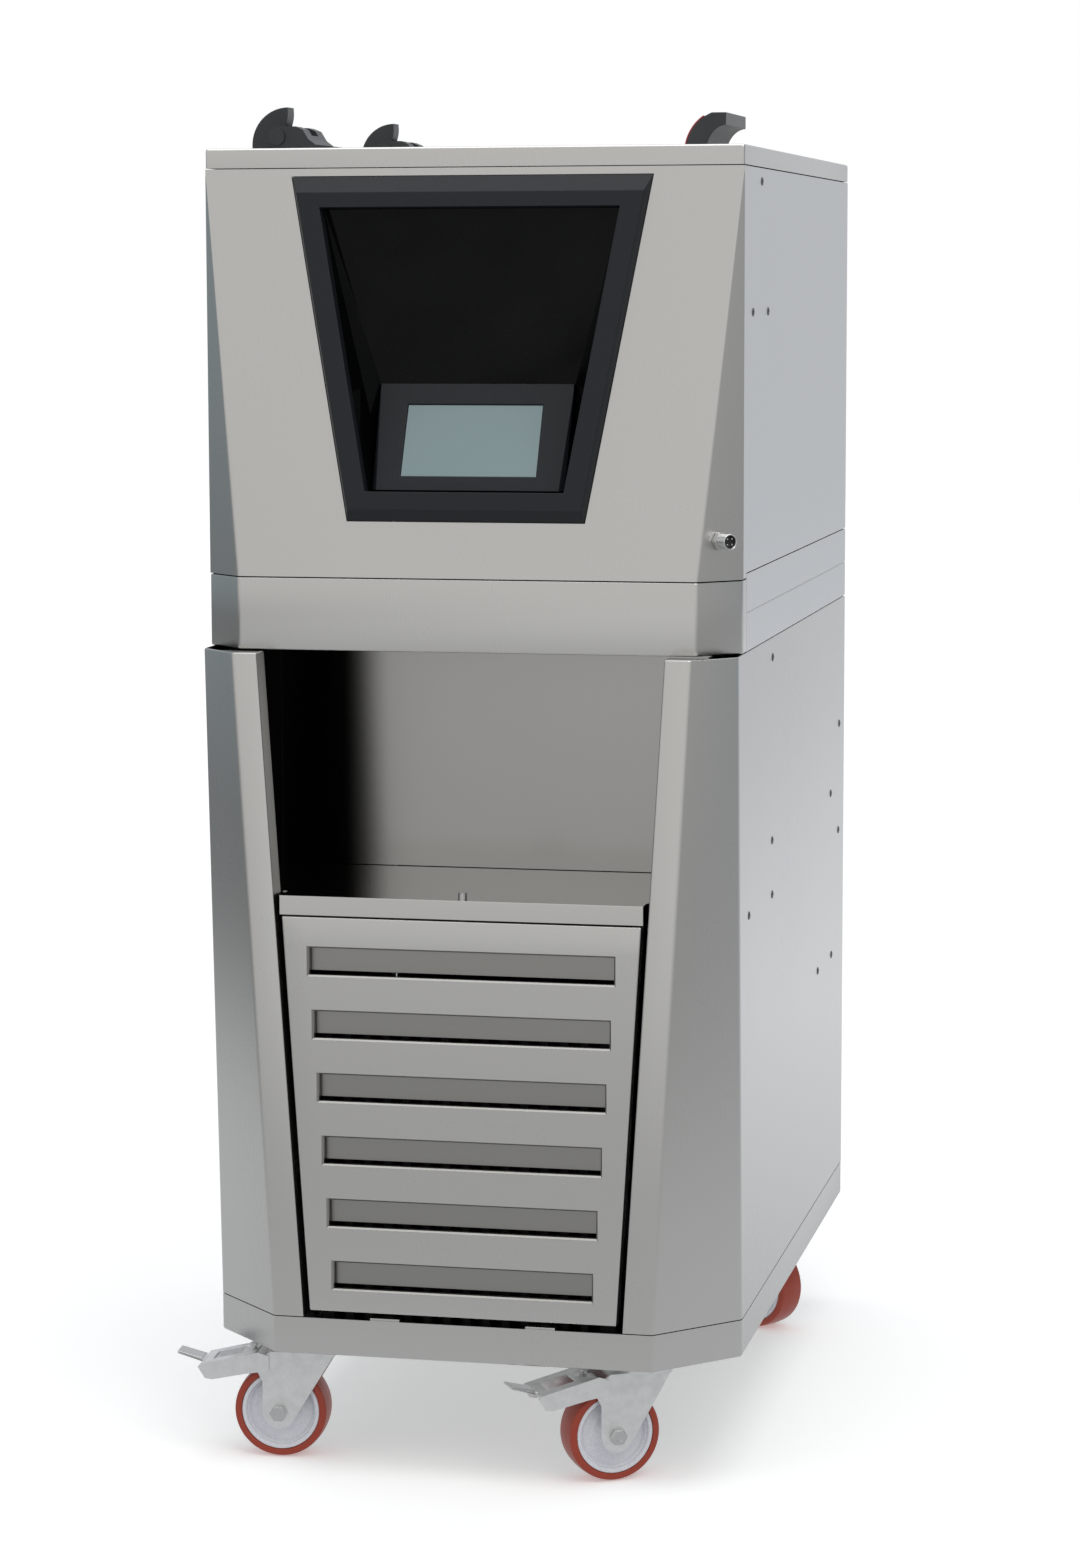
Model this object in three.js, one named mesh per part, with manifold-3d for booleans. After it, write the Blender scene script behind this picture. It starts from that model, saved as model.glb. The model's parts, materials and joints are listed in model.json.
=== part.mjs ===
// Floor-standing thermostatic water bath: a stainless cabinet on casters with a sunk tank,
// a hinged lid, a tilting air grille and a touch-screen console. Millimetres, +Z up.
// The origin is on the floor, under the middle of the cabinet; the front faces -Y.
import * as THREE from 'three';
import { ConvexGeometry } from 'three/addons/geometries/ConvexGeometry.js';
import { mergeVertices } from 'three/addons/utils/BufferGeometryUtils.js';
import Module from 'manifold-3d';

const wasm = await Module();
wasm.setup();

// Driving dimensions -------------------------------------------------------------------------
const GAP = 0.3; // clearance between pieces that touch
const SEAM = 0.8; // open joint line between stacked casings
const SHEET = 1.5; // casing sheet
const WIDTH = 445;
const DEPTH = 666;
const PAN_HEIGHT = 31;
const LOWER_HEIGHT = 550;
const BELT_HEIGHT = 59;
const UPPER_HEIGHT = 329;
const COVER_HEIGHT = 16;
const BELT_SETBACK = 23; // belt front behind the lower front
const LEAN_RUN = 32; // how far the upper front leans back
const PAN_CHAMFER = 63.5; // corner chamfer at the bottom of the lower body
const NECK_CHAMFER = 34; // the same chamfer at its top
const UPPER_CHAMFER = 33;
const BELT_RETURN = 16; // belt front wraps this far along the sides
const STRIP_RISE = 4.2; // side strips stand higher than the belt front

const POST = { bottom: 88.5, top: 54.3, fold: 22 }; // from the casing's side in to the opening
// Places of the screws in each side, as shares of half the depth and of the panel's height.
const SCREW = { radius: 3.6, crown: 3, proud: 1, root: 0.5, sides: 16 };
const LOWER_SCREWS = [
  [-0.362, 0.97], [0.896, 0.784], [0.728, 0.675], [0.89, 0.599], [-0.356, 0.686],
  [-0.352, 0.601], [-0.727, 0.604], [0.761, 0.393], [0.489, 0.393],
];
const UPPER_SCREWS = [[-0.569, 0.967], [-0.701, 0.647], [-0.464, 0.647]];
const PAN_SHEET = 2;
const PAN_FLOOR = 3;
const TAB = { x: 65.4, width: 25, front: 0.5, depth: 12, height: 1.6, root: 1 };

const SHELF_HEIGHT = 351.5; // top of the shelf above the foot of the lower body
const SHELF_LIP = 15.7;
const SHELF_PLAY = 4.86; // between the shelf's tongue and each post
const BAY = { play: 1.83, back: 181.6, sheet: 1.2, clear: 2 }; // clear of the corner sheet and the folds

const DOOR = { lift: 5, side: 5.3, above: 1.4, depth: 14, inset: 1 }; // clear of pan, posts and lip
const SLOT = { count: 6, height: 25.2, above: 24.2, below: 18, side: 17.9, taper: 0.44 };
const BAFFLE = { depth: 9, sheet: 1, slit: 4, above: 10 };
const LATCH = { setback: 12.5, radius: 3.5, proud: 5, length: 27, travel: 8, collar: 5.5, play: 1 };

const LID = { left: 62.5, right: 42.5, front: 24, drop: 9, proud: 0.5, clear: 2 }; // in from the cover
const TANK = { ledge: 13, margin: 14, depth: 190, flange: 13, wall: 1.5 };
const SEAL = { width: 8, inset: 3 };
const HINGE = { out: 21, inset: 74, height: 11.5, boss: 9, pin: 4, half: 30, head: 7, headThick: 2 };
const FIN = {
  radius: 31, x: 4, z: -6, half: 9.8, room: 0.2, toe: 7, neck: 0.4,
  hollow: { x: -24, z: 20, radius: 28 },
};
const ARM = {
  slope: [[16, 8.5], [22, 6], [27, -2], [33, -6.5], [48, -8.2]],
  heel: 3, finRoom: 26, finFloor: 1.5, footRoom: 8.5, bossPlay: 1,
};
const HANDLE = { inset: 45, length: 105, radius: 36, top: 33.4, end: 35, gripX: 18, gripZ: 23 };
const TRIM = { thickness: 1.2, start: 179, end: 124, inset: 2 };

const BEZEL = {
  low: 45.7, above: 4.8, halfLow: 98.2, halfHigh: 149.2, proud: 8, back: 4, past: 30,
  bevelLow: 9, bevelHigh: 14, bevelSide: 3.5,
};
const RECESS = { below: 23.8, above: 25.9, sideLow: 16.2, sideHigh: 25.6, wall: 2.5, rim: 2, behind: 1 };
const CONSOLE = {
  back: 161, backDepth: 37, side: 0.7, foot: 8, lip: 2, lipDepth: 5, faceTop: 7, faceDepth: 1.5,
};
const FACE = { side: 6.4, depth: 3, bottom: 1.5 };
const SCREEN = { half: 56, low: 12.8, height: 63.3, thick: 3 };
const SOCKET = {
  along: 0.5, height: 32, nut: 8.6, nutThick: 5, barrel: 6.6, reach: 15, tail: 12,
  wall: 1.4, cup: 4, pin: 0.8, pinAt: 2.4,
};

const WHEEL = { radius: 40, width: 28, tread: 7, trail: 28, edge: 2, shoulder: 4, sides: 32 };
const CORE = { rim: 3.5, dish: 6, web: 7, boss: 11, bossRoot: 13, bossWeb: 8, inset: 0.6 };
const AXLE = { radius: 4.5, play: 0.4, head: 7.5, headThick: 5 };
const FORK = {
  play: 3, plate: 2.5, rise: 22, head: 26, headHeight: 9.5, foot: 14, front: 20, back: 34, ear: 46,
  neck: [26.2, 18.2, 8.2],
};
const CASTER = { side: 83, front: 57, rear: 109 };
const PEDAL = {
  x: 13, z: 2, sheet: 1.8, pin: 2.5,
  cheek: [[-5, -6], [4, -7.5], [14, -9], [44, -15], [50, -14], [56, -4.5], [54, -2], [4, 9.5], [-5, 6.5]],
  web: [[7, 6.8], [54, -4], [54, -2], [7, 8.8]],
  window: { x: [20, 45], half: 11, z: [-10, 15] },
  tongue: { outline: [[52, -4], [76, 3.2], [76, 5], [52, -1.6]], half: 9 },
};
const STEER = { frontRight: 211, frontLeft: 184, rearRight: -31, rearLeft: 158 };

const VENT = { rows: 10, low: 40, pitch: 14, side: 72.5, width: 140, height: 3.5 };
const INLET = {
  side: 92.5, up: 37.4, half: 26, tall: 30, bodyHalf: 22, bodyTall: 26, deep: 26, proud: 3,
  rocker: { half: 14, z: [4, 25], deep: 9, at: 14.5 }, socket: { half: 13, z: [-22, -5], deep: 18 },
  pins: { x: [-7, 0, 7], half: 1, z: [-16, -11], root: 19, reach: 4 },
};
const ROCKER = { outline: [[-6, -7], [1.5, -9.6], [-1, 0], [3.6, 9.2], [-6, 7]], half: 13.2 };
const DRAIN = {
  side: 26, up: 37.4, neck: 11, pipe: 8, fromWall: 40, long: 60, collar: 6, body: 18, bodyEnd: 24,
  knob: 17, knobThick: 7, grip: 4, gripBase: 3,
};
const COIL = { side: 10, front: 24, thick: 34, height: 285, grooves: 14, margin: 8, cheek: 2, open: 0.6 };
const FAN = {
  margin: 19, tip: 5, hub: 26, thick: 24, strut: 7, strutThick: 4, back: 4, play: 0.5,
  blades: 5, blade: 3, chord: 44, sunk: 7, short: 1, pitch: 25.7,
};
const HEATER = { side: 36, end: 50, turn: 22, tube: 4, tail: 30, lift: 14, steps: 44 };
const COMPRESSOR = {
  x: 60, y: -20, radius: 78, height: 190, foot: 6, footInset: 8, footThick: 4, neck: 30,
  base: 12, neckTop: 20,
  belly: [[22, 14], [6, 26], [0, 48]], dome: [[0, 60], [6, 26], [24, 6]],
};
const PUMP = {
  x: -60, y: 60, base: [40, 30, 5], saddle: [22, 28, 30], axis: 45, volute: 38, voluteY: [-30, -4],
  motor: 30, motorY: [-5, 70], inlet: 11, inletY: [-48, -29], outlet: 10, outletZ: [60, 110],
  outletAt: [26, -17],
};
const BOARD = {
  half: 80, height: 90, thick: 1.6, behind: 14, tall: 12,
  parts: [[-60, 10, 34, 20], [-10, 12, 26, 26], [30, 16, 34, 18], [-60, 50, 22, 22], [10, 52, 44, 14]],
};

// Levels and faces that follow from them ---------------------------------------------------------
const HALF = WIDTH / 2;
const FRONT = -DEPTH / 2;
const REAR = DEPTH / 2;
const CASTER_HEIGHT = 2 * WHEEL.radius + FORK.rise;
const PAN_TOP = CASTER_HEIGHT + PAN_HEIGHT;
const LOWER_Z = PAN_TOP + SEAM;
const BELT_Z = LOWER_Z + LOWER_HEIGHT + SEAM;
const UPPER_Z = BELT_Z + BELT_HEIGHT + SEAM;
const COVER_Z = UPPER_Z + UPPER_HEIGHT + SEAM;
const TOP_Z = COVER_Z + COVER_HEIGHT;
const BELT_Y = FRONT + BELT_SETBACK;
const UPPER_Y = BELT_Y + LEAN_RUN;
const LEAN = Math.atan(LEAN_RUN / UPPER_HEIGHT);
const PAST = 5; // how far a cutter runs past what it cuts
const BAY_FRONT = FRONT + POST.fold + SHEET + BAY.clear;
const DECK_Z = BELT_Z + 1 + SHEET + GAP;
const LID_EDGES = { left: LID.left - HALF, right: HALF - LID.right, half: -UPPER_Y - LID.front };
const HINGE_X = LID_EDGES.left - HINGE.out;
const BEZEL_HIGH = UPPER_HEIGHT - BEZEL.above;
const RECESS_LOW = BEZEL.low + RECESS.below;
const RECESS_HIGH = BEZEL_HIGH - RECESS.above;
const RECESS_HALF = BEZEL.halfLow - RECESS.sideLow;
const RECESS_HALF_HIGH = BEZEL.halfHigh - RECESS.sideHigh;
const CONSOLE_HALF = RECESS_HALF - CONSOLE.side;
const FACE_HALF = RECESS_HALF - FACE.side;
const FACE_BOTTOM = RECESS_LOW + FACE.bottom;
const FACE_TOP = CONSOLE.back - CONSOLE.faceTop;
const FACE_BACK = CONSOLE.backDepth - CONSOLE.faceDepth;
const CORE_RADIUS = WHEEL.radius - WHEEL.tread;
const FORK_INNER = WHEEL.width / 2 + FORK.play;
const PEDAL_AT = [WHEEL.trail + PEDAL.x, 0, 2 * WHEEL.radius + PEDAL.z];

// Finishes -------------------------------------------------------------------------------------
const finish = (color, roughness, metalness) => ({ color, roughness, metalness });
const STEEL = finish(0xb0afab, 0.34, 1);
const DARK_STEEL = finish(0x8d8c89, 0.4, 1);
const BRIGHT_STEEL = finish(0xc5c9ca, 0.25, 1);
const BLACK_PLASTIC = finish(0x2c2f33, 0.5, 0);
const BEZEL_PLASTIC = finish(0x3c4046, 0.45, 0.1);
const GLOSS_BLACK = finish(0x08090b, 0.12, 0);
const SCREEN_GLASS = finish(0x83939a, 0.15, 0);
const RED_TRIM = finish(0xb0303a, 0.4, 0);
const TREAD = finish(0xb0402c, 0.5, 0);
const NYLON = finish(0xc5c6d3, 0.45, 0);
const SILICONE = finish(0x5a5d60, 0.7, 0);
const BOARD_GREEN = finish(0x1f5a3a, 0.5, 0);
const PAINTED_BLACK = finish(0x17181a, 0.45, 0.2);
const ALUMINIUM = finish(0xa9acae, 0.35, 1);

// Solids ---------------------------------------------------------------------------------------
function solid(geometry) {
  const bare = geometry.clone();
  bare.deleteAttribute('normal');
  bare.deleteAttribute('uv');
  const welded = mergeVertices(bare, 1e-4);
  return new wasm.Manifold(new wasm.Mesh({
    numProp: 3,
    vertProperties: Float32Array.from(welded.attributes.position.array),
    triVerts: Uint32Array.from(welded.index.array),
  }));
}

function geometryOf(body) {
  const mesh = body.getMesh();
  const geometry = new THREE.BufferGeometry();
  geometry.setAttribute('position', new THREE.BufferAttribute(mesh.vertProperties, 3));
  geometry.setIndex(new THREE.BufferAttribute(mesh.triVerts, 1));
  geometry.computeVertexNormals();
  return geometry;
}

function piece(name, body, look, place = {}) {
  const mesh = new THREE.Mesh(geometryOf(body), new THREE.MeshStandardMaterial(look));
  mesh.name = name;
  mesh.position.set(...(place.position ?? [0, 0, 0]));
  mesh.rotation.set(...(place.rotation ?? [0, 0, 0]));
  return mesh;
}

function group(position, ...children) {
  const holder = new THREE.Group();
  holder.position.set(...position);
  holder.add(...children);
  return holder;
}

function block([x0, x1], [y0, y1], [z0, z1]) {
  const box = new THREE.BoxGeometry(x1 - x0, y1 - y0, z1 - z0);
  return solid(box.translate((x0 + x1) / 2, (y0 + y1) / 2, (z0 + z1) / 2));
}

function extrude(outline, length) {
  const shape = new THREE.Shape(outline.map(([u, v]) => new THREE.Vector2(u, v)));
  return new THREE.ExtrudeGeometry(shape, { depth: length, bevelEnabled: false });
}

// An outline in X and Y, raised from z0 to z1.
function plan(outline, [z0, z1]) {
  return solid(extrude(outline, z1 - z0).translate(0, 0, z0));
}

// An outline in X and Z, carried from y0 to y1.
function frontal(outline, [y0, y1]) {
  return solid(extrude(outline, y1 - y0).rotateX(Math.PI / 2).translate(0, y1, 0));
}

// An outline in Y and Z, carried from x0 to x1.
function lateral(outline, [x0, x1]) {
  const turn = new THREE.Matrix4().makeBasis(
    new THREE.Vector3(0, 1, 0), new THREE.Vector3(0, 0, 1), new THREE.Vector3(1, 0, 0),
  );
  return solid(extrude(outline, x1 - x0).applyMatrix4(turn).translate(x0, 0, 0));
}

function hull(points) {
  return solid(new ConvexGeometry(points.map((p) => new THREE.Vector3(...p))));
}

// A cylinder about the Y axis, from y0 to y1.
function drumY(radius, [y0, y1], [x, z] = [0, 0], sides = 32) {
  const drum = new THREE.CylinderGeometry(radius, radius, y1 - y0, sides);
  return solid(drum.translate(x, (y0 + y1) / 2, z));
}

// A cylinder about the Z axis, from z0 to z1.
function drumZ(radius, [z0, z1], [x, y] = [0, 0], sides = 32) {
  const drum = new THREE.CylinderGeometry(radius, radius, z1 - z0, sides).rotateX(Math.PI / 2);
  return solid(drum.translate(x, y, (z0 + z1) / 2));
}

// A closed profile of [radius, y] points turned about the Y axis.
function turned(profile, sides) {
  const points = [...profile, profile[0]].map(([r, y]) => new THREE.Vector2(r, y));
  return solid(new THREE.LatheGeometry(points, sides));
}

function arc([cx, cy], [rx, ry], fromDegrees, toDegrees, steps) {
  return Array.from({ length: steps + 1 }, (_, i) => {
    const angle = THREE.MathUtils.degToRad(fromDegrees + ((toDegrees - fromDegrees) * i) / steps);
    return [cx + rx * Math.cos(angle), cy + ry * Math.sin(angle)];
  });
}

const join = (first, ...rest) => rest.reduce((whole, next) => whole.add(next), first);
const cut = (first, ...rest) => rest.reduce((whole, next) => whole.subtract(next), first);
const mix = (a, b, t) => a + (b - a) * t;
const grown = ([low, high], by) => [low - by, high + by];

// A rectangle in plan with both front corners cut off, drawn `inset` inside its true outline.
function chamferedPlan(half, front, rear, [cx, cy], inset) {
  const slant = Math.hypot(cx, cy);
  const alongSide = (inset * (slant - cy)) / cx;
  const alongFront = (inset * (slant - cx)) / cy;
  const side = half - inset;
  return [
    [side, rear], [-side, rear], [-side, front + cy + alongSide],
    [-(half - cx - alongFront), front + inset], [half - cx - alongFront, front + inset],
    [side, front + cy + alongSide],
  ];
}

// Base pan ------------------------------------------------------------------------------------
function basePan() {
  const corner = [PAN_CHAMFER, PAN_CHAMFER];
  const outside = plan(chamferedPlan(HALF, FRONT, REAR, corner, 0), [0, PAN_HEIGHT]);
  const insideRear = REAR - PAN_SHEET;
  const inside = plan(
    chamferedPlan(HALF, FRONT, insideRear, corner, PAN_SHEET), [PAN_FLOOR, PAN_HEIGHT + PAST],
  );
  const tabs = [-TAB.x, TAB.x].map((x) => block(
    [x - TAB.width / 2, x + TAB.width / 2], [FRONT + TAB.front, FRONT + TAB.depth],
    [PAN_HEIGHT - TAB.root, PAN_HEIGHT + TAB.height],
  ));
  return join(cut(outside, inside), ...tabs);
}

// Lower body -----------------------------------------------------------------------------------
const postEdge = (z) => HALF - mix(POST.bottom, POST.top, z / LOWER_HEIGHT);

function lowerBlock(inset, rear, [z0, z1]) {
  const corners = [z0, z1].flatMap((z) => {
    const chamfer = mix(PAN_CHAMFER, NECK_CHAMFER, z / LOWER_HEIGHT);
    return chamferedPlan(HALF, FRONT, rear, [chamfer, chamfer], inset).map(([x, y]) => [x, y, z]);
  });
  return hull(corners);
}

function screwHeads(places, height, side) {
  const length = SCREW.root + SCREW.proud;
  return places.map(([along, up]) => {
    const head = new THREE.CylinderGeometry(SCREW.crown, SCREW.radius, length, SCREW.sides);
    head.rotateZ((-side * Math.PI) / 2);
    return solid(head.translate(side * (HALF - SCREW.root + length / 2), along * REAR, up * height));
  });
}

function lowerSidePanel(side) {
  const outside = lowerBlock(0, REAR, [0, LOWER_HEIGHT]);
  const inside = lowerBlock(SHEET, REAR + PAST, [-PAST, LOWER_HEIGHT + PAST]);
  const mouth = frontal([
    [-postEdge(-PAST), -PAST], [postEdge(-PAST), -PAST],
    [postEdge(LOWER_HEIGHT + PAST), LOWER_HEIGHT + PAST],
    [-postEdge(LOWER_HEIGHT + PAST), LOWER_HEIGHT + PAST],
  ], [FRONT - PAST, FRONT + 2 * POST.fold]);
  const half = block(
    [side > 0 ? 0 : -HALF - PAST, side > 0 ? HALF + PAST : 0],
    [FRONT - PAST, REAR + PAST], [-PAST, LOWER_HEIGHT + PAST],
  );
  const fold = hull([0, LOWER_HEIGHT].flatMap((z) => [0, SHEET].flatMap((t) => [0, POST.fold].map(
    (y) => [side * (postEdge(z) + t), FRONT + y, z],
  ))));
  const top = block(
    [-HALF, HALF], [FRONT, FRONT + POST.fold], [LOWER_HEIGHT - SHEET, LOWER_HEIGHT],
  );
  const ledge = cut(outside.intersect(top), mouth).intersect(half);
  const screws = screwHeads(LOWER_SCREWS, LOWER_HEIGHT, side);
  return join(cut(outside, inside, mouth).intersect(half), ledge, fold, ...screws);
}

function rearPanel() {
  const height = COVER_Z - SEAM - LOWER_Z;
  const half = HALF - SHEET - GAP;
  const sheet = block([-half, half], [REAR - SHEET, REAR], [0, height]);
  const through = [REAR - SHEET - PAST, REAR + PAST];
  const vents = [];
  for (const x of [VENT.side - HALF, HALF - VENT.side - VENT.width]) {
    for (let row = 0; row < VENT.rows; row += 1) {
      const z = VENT.low + row * VENT.pitch;
      vents.push(block([x, x + VENT.width], through, [z, z + VENT.height]));
    }
  }
  const inlet = block(
    grown([INLET_AT[0], INLET_AT[0]], INLET.bodyHalf + GAP), through,
    grown([INLET_AT[2] - LOWER_Z, INLET_AT[2] - LOWER_Z], INLET.bodyTall + GAP),
  );
  const drain = drumY(DRAIN.neck + GAP, through, [DRAIN_AT[0], DRAIN_AT[2] - LOWER_Z]);
  return cut(sheet, ...vents, inlet, drain);
}

// The liner's front edges stop short of the slanted corner sheet, which is widest at the shelf.
const SHELF_CORNER = mix(PAN_CHAMFER, NECK_CHAMFER, SHELF_HEIGHT / LOWER_HEIGHT);
const BAY_HALF = HALF - BAY.play - (SHELF_CORNER + FRONT - BAY_FRONT + SHEET * Math.SQRT2);

function bayLiner() {
  const back = FRONT + BAY.back;
  const front = BAY_FRONT;
  const half = BAY_HALF;
  const { sheet } = BAY;
  return plan([
    [-half, front], [-half + sheet, front], [-half + sheet, back - sheet],
    [half - sheet, back - sheet], [half - sheet, front], [half, front], [half, back], [-half, back],
  ], [SHELF_HEIGHT + GAP, LOWER_HEIGHT - GAP]);
}

function shelf() {
  const wide = BAY_HALF - BAY.sheet - GAP;
  const tongue = postEdge(SHELF_HEIGHT) - SHELF_PLAY;
  const front = FRONT + DOOR.inset;
  const back = FRONT + BAY.back - BAY.sheet - GAP;
  const deck = plan([
    [-tongue, front], [tongue, front], [tongue, BAY_FRONT], [wide, BAY_FRONT],
    [wide, back], [-wide, back], [-wide, BAY_FRONT], [-tongue, BAY_FRONT],
  ], [SHELF_HEIGHT - SHEET, SHELF_HEIGHT]);
  const lip = block(
    [-tongue, tongue], [front, front + SHEET],
    [SHELF_HEIGHT - SHELF_LIP, SHELF_HEIGHT - SHEET / 2],
  );
  const hole = drumZ(
    LATCH.radius + GAP, [SHELF_HEIGHT - SHELF_LIP, SHELF_HEIGHT + PAST],
    [0, FRONT + LATCH.setback], 24,
  );
  return cut(join(deck, lip), hole);
}

// The grille swings on its bottom front edge; z is counted from that edge.
const DOOR_HEIGHT = SHELF_HEIGHT - SHELF_LIP - DOOR.above - DOOR.lift;
const SLOT_PITCH = (DOOR_HEIGHT - SLOT.above - SLOT.below - SLOT.height) / (SLOT.count - 1);
const doorHalf = (z) => postEdge(z + DOOR.lift) - DOOR.side;
const slotBottom = (row) => DOOR_HEIGHT - SLOT.above - SLOT.height - row * SLOT_PITCH;
const slotHalf = (row) => doorHalf(slotBottom(row)) - SLOT.side - row * SLOT.taper;

function doorOutline(inset) {
  const low = inset;
  const high = DOOR_HEIGHT - inset;
  return [
    [-doorHalf(low) + inset, low], [doorHalf(low) - inset, low],
    [doorHalf(high) - inset, high], [-doorHalf(high) + inset, high],
  ];
}

function grillePanel() {
  const pan = cut(
    frontal(doorOutline(0), [0, DOOR.depth]),
    frontal(doorOutline(SHEET), [SHEET, DOOR.depth + PAST]),
  );
  const slots = Array.from({ length: SLOT.count }, (_, row) => block(
    [-slotHalf(row), slotHalf(row)], [-PAST, SHEET + PAST],
    [slotBottom(row), slotBottom(row) + SLOT.height],
  ));
  const pinY = LATCH.setback - DOOR.inset;
  const reach = LATCH.radius + LATCH.play;
  const notch = join(
    drumZ(reach, [DOOR_HEIGHT - PAST, DOOR_HEIGHT + PAST], [0, pinY], 24),
    block([-reach, reach], [pinY, DOOR.depth + PAST], [DOOR_HEIGHT - PAST, DOOR_HEIGHT + PAST]),
  );
  return cut(pan, ...slots, notch);
}

function bafflePlate() {
  const sheet = [BAFFLE.depth, BAFFLE.depth + BAFFLE.sheet];
  const full = frontal(doorOutline(SHEET + GAP), sheet);
  const top = DOOR_HEIGHT - SLOT.above + BAFFLE.above;
  const spare = block([-HALF, HALF], grown(sheet, PAST), [top, DOOR_HEIGHT]);
  const plate = cut(full, spare);
  const slits = Array.from({ length: SLOT.count }, (_, row) => block(
    [-slotHalf(row), slotHalf(row)], [BAFFLE.depth - PAST, BAFFLE.depth + PAST],
    [slotBottom(row), slotBottom(row) + BAFFLE.slit],
  ));
  return cut(plate, ...slits);
}

function latchPin() {
  const low = LATCH.proud - LATCH.length;
  const collarTop = -SHEET - LATCH.travel - GAP;
  return join(
    drumZ(LATCH.radius, [low, LATCH.proud], [0, 0], 24),
    drumZ(LATCH.collar, [collarTop - SHEET, collarTop], [0, 0], 24),
  );
}

// Belt and upper body -----------------------------------------------------------------------------
function upperPlan(inset, rear) {
  return chamferedPlan(HALF, BELT_Y, rear, [UPPER_CHAMFER, LEAN_RUN], inset);
}

function beltFront() {
  const band = cut(
    plan(upperPlan(0, REAR), [0, BELT_HEIGHT]),
    plan(upperPlan(SHEET, REAR + PAST), [-PAST, BELT_HEIGHT + PAST]),
  );
  return band.intersect(block(
    [-HALF - PAST, HALF + PAST], [BELT_Y - PAST, UPPER_Y + BELT_RETURN], [-PAST, BELT_HEIGHT + PAST],
  ));
}

function beltSide(side) {
  const height = BELT_HEIGHT + STRIP_RISE;
  const [inner, outer] = [HALF - SHEET, HALF];
  const span = [UPPER_Y + BELT_RETURN + SEAM, REAR];
  const strip = block([inner, outer], span, [0, height]);
  const groove = block(
    [outer - SEAM, outer + PAST], [span[0] - PAST, span[1] + PAST],
    [height / 2 - SEAM / 2, height / 2 + SEAM / 2],
  );
  const whole = cut(strip, groove);
  return side > 0 ? whole : whole.mirror([1, 0, 0]);
}

function equipmentDeck() {
  return plan(upperPlan(SHEET + GAP, REAR - SHEET - GAP), [1, 1 + SHEET]);
}

function upperBlock(inset, rear, [z0, z1]) {
  const front = (z) => BELT_Y + inset + (z * LEAN_RUN) / UPPER_HEIGHT;
  const leaning = lateral([
    [front(z0), z0], [rear, z0], [rear, z1], [front(z1), z1],
  ], [-HALF - PAST, HALF + PAST]);
  return plan(upperPlan(inset, rear), [z0, z1]).intersect(leaning);
}

// The leaning front has its own frame: z runs up the slope and -y points straight out of it.
const LEANING = new THREE.Matrix4().makeRotationX(-LEAN).setPosition(0, BELT_Y, 0);

function trapezoid([low, halfLow], [high, halfHigh], grow) {
  const slope = (halfHigh - halfLow) / (high - low);
  const side = grow * Math.hypot(1, slope);
  return [
    [-(halfLow + side - slope * grow), low - grow], [halfLow + side - slope * grow, low - grow],
    [halfHigh + side + slope * grow, high + grow], [-(halfHigh + side + slope * grow), high + grow],
  ];
}

const bezelOutline = (grow) => trapezoid(
  [BEZEL.low, BEZEL.halfLow], [BEZEL_HIGH, BEZEL.halfHigh], grow,
);
const recessOutline = (grow) => trapezoid(
  [RECESS_LOW, RECESS_HALF], [RECESS_HIGH, RECESS_HALF_HIGH], grow,
);

function upperFrontPanel() {
  const shell = cut(
    upperBlock(0, REAR, [0, UPPER_HEIGHT]), upperBlock(SHEET, REAR + PAST, [-PAST, UPPER_HEIGHT + PAST]),
  );
  const frontPart = block(
    [-HALF - PAST, HALF + PAST], [BELT_Y - PAST, UPPER_Y], [-PAST, UPPER_HEIGHT + PAST],
  );
  const opening = extrude(bezelOutline(GAP), 2 * BEZEL.past)
    .rotateX(Math.PI / 2).translate(0, BEZEL.past, 0);
  return cut(shell.intersect(frontPart), solid(opening.applyMatrix4(LEANING)), socketBore());
}

function upperSidePanel(side) {
  const panel = block([HALF - SHEET, HALF], [UPPER_Y + SEAM, REAR], [0, UPPER_HEIGHT]);
  const step = block(
    [HALF - SHEET - PAST, HALF + PAST], [UPPER_Y + BELT_RETURN, REAR + PAST], [-PAST, STRIP_RISE],
  );
  const whole = cut(panel, step);
  const screws = screwHeads(UPPER_SCREWS, UPPER_HEIGHT, side);
  return join(side > 0 ? whole : whole.mirror([1, 0, 0]), ...screws);
}

// Console, in the frame of the leaning front ------------------------------------------------------
function bezel() {
  const outline = bezelOutline(0);
  const slope = (BEZEL.halfHigh - BEZEL.halfLow) / (BEZEL_HIGH - BEZEL.low);
  const faceLow = BEZEL.low + BEZEL.bevelLow;
  const faceHigh = BEZEL_HIGH - BEZEL.bevelHigh;
  const face = [
    [BEZEL.halfLow + slope * BEZEL.bevelLow - BEZEL.bevelSide, faceLow],
    [BEZEL.halfHigh - slope * BEZEL.bevelHigh - BEZEL.bevelSide, faceHigh],
  ].flatMap(([x, z]) => [[x, -BEZEL.proud, z], [-x, -BEZEL.proud, z]]);
  const base = outline.flatMap(([x, z]) => [[x, 0, z], [x, BEZEL.back, z]]);
  const inside = frontal(recessOutline(0), [-BEZEL.proud - PAST, BEZEL.back + PAST]);
  return cut(hull([...face, ...base]), inside);
}

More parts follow.
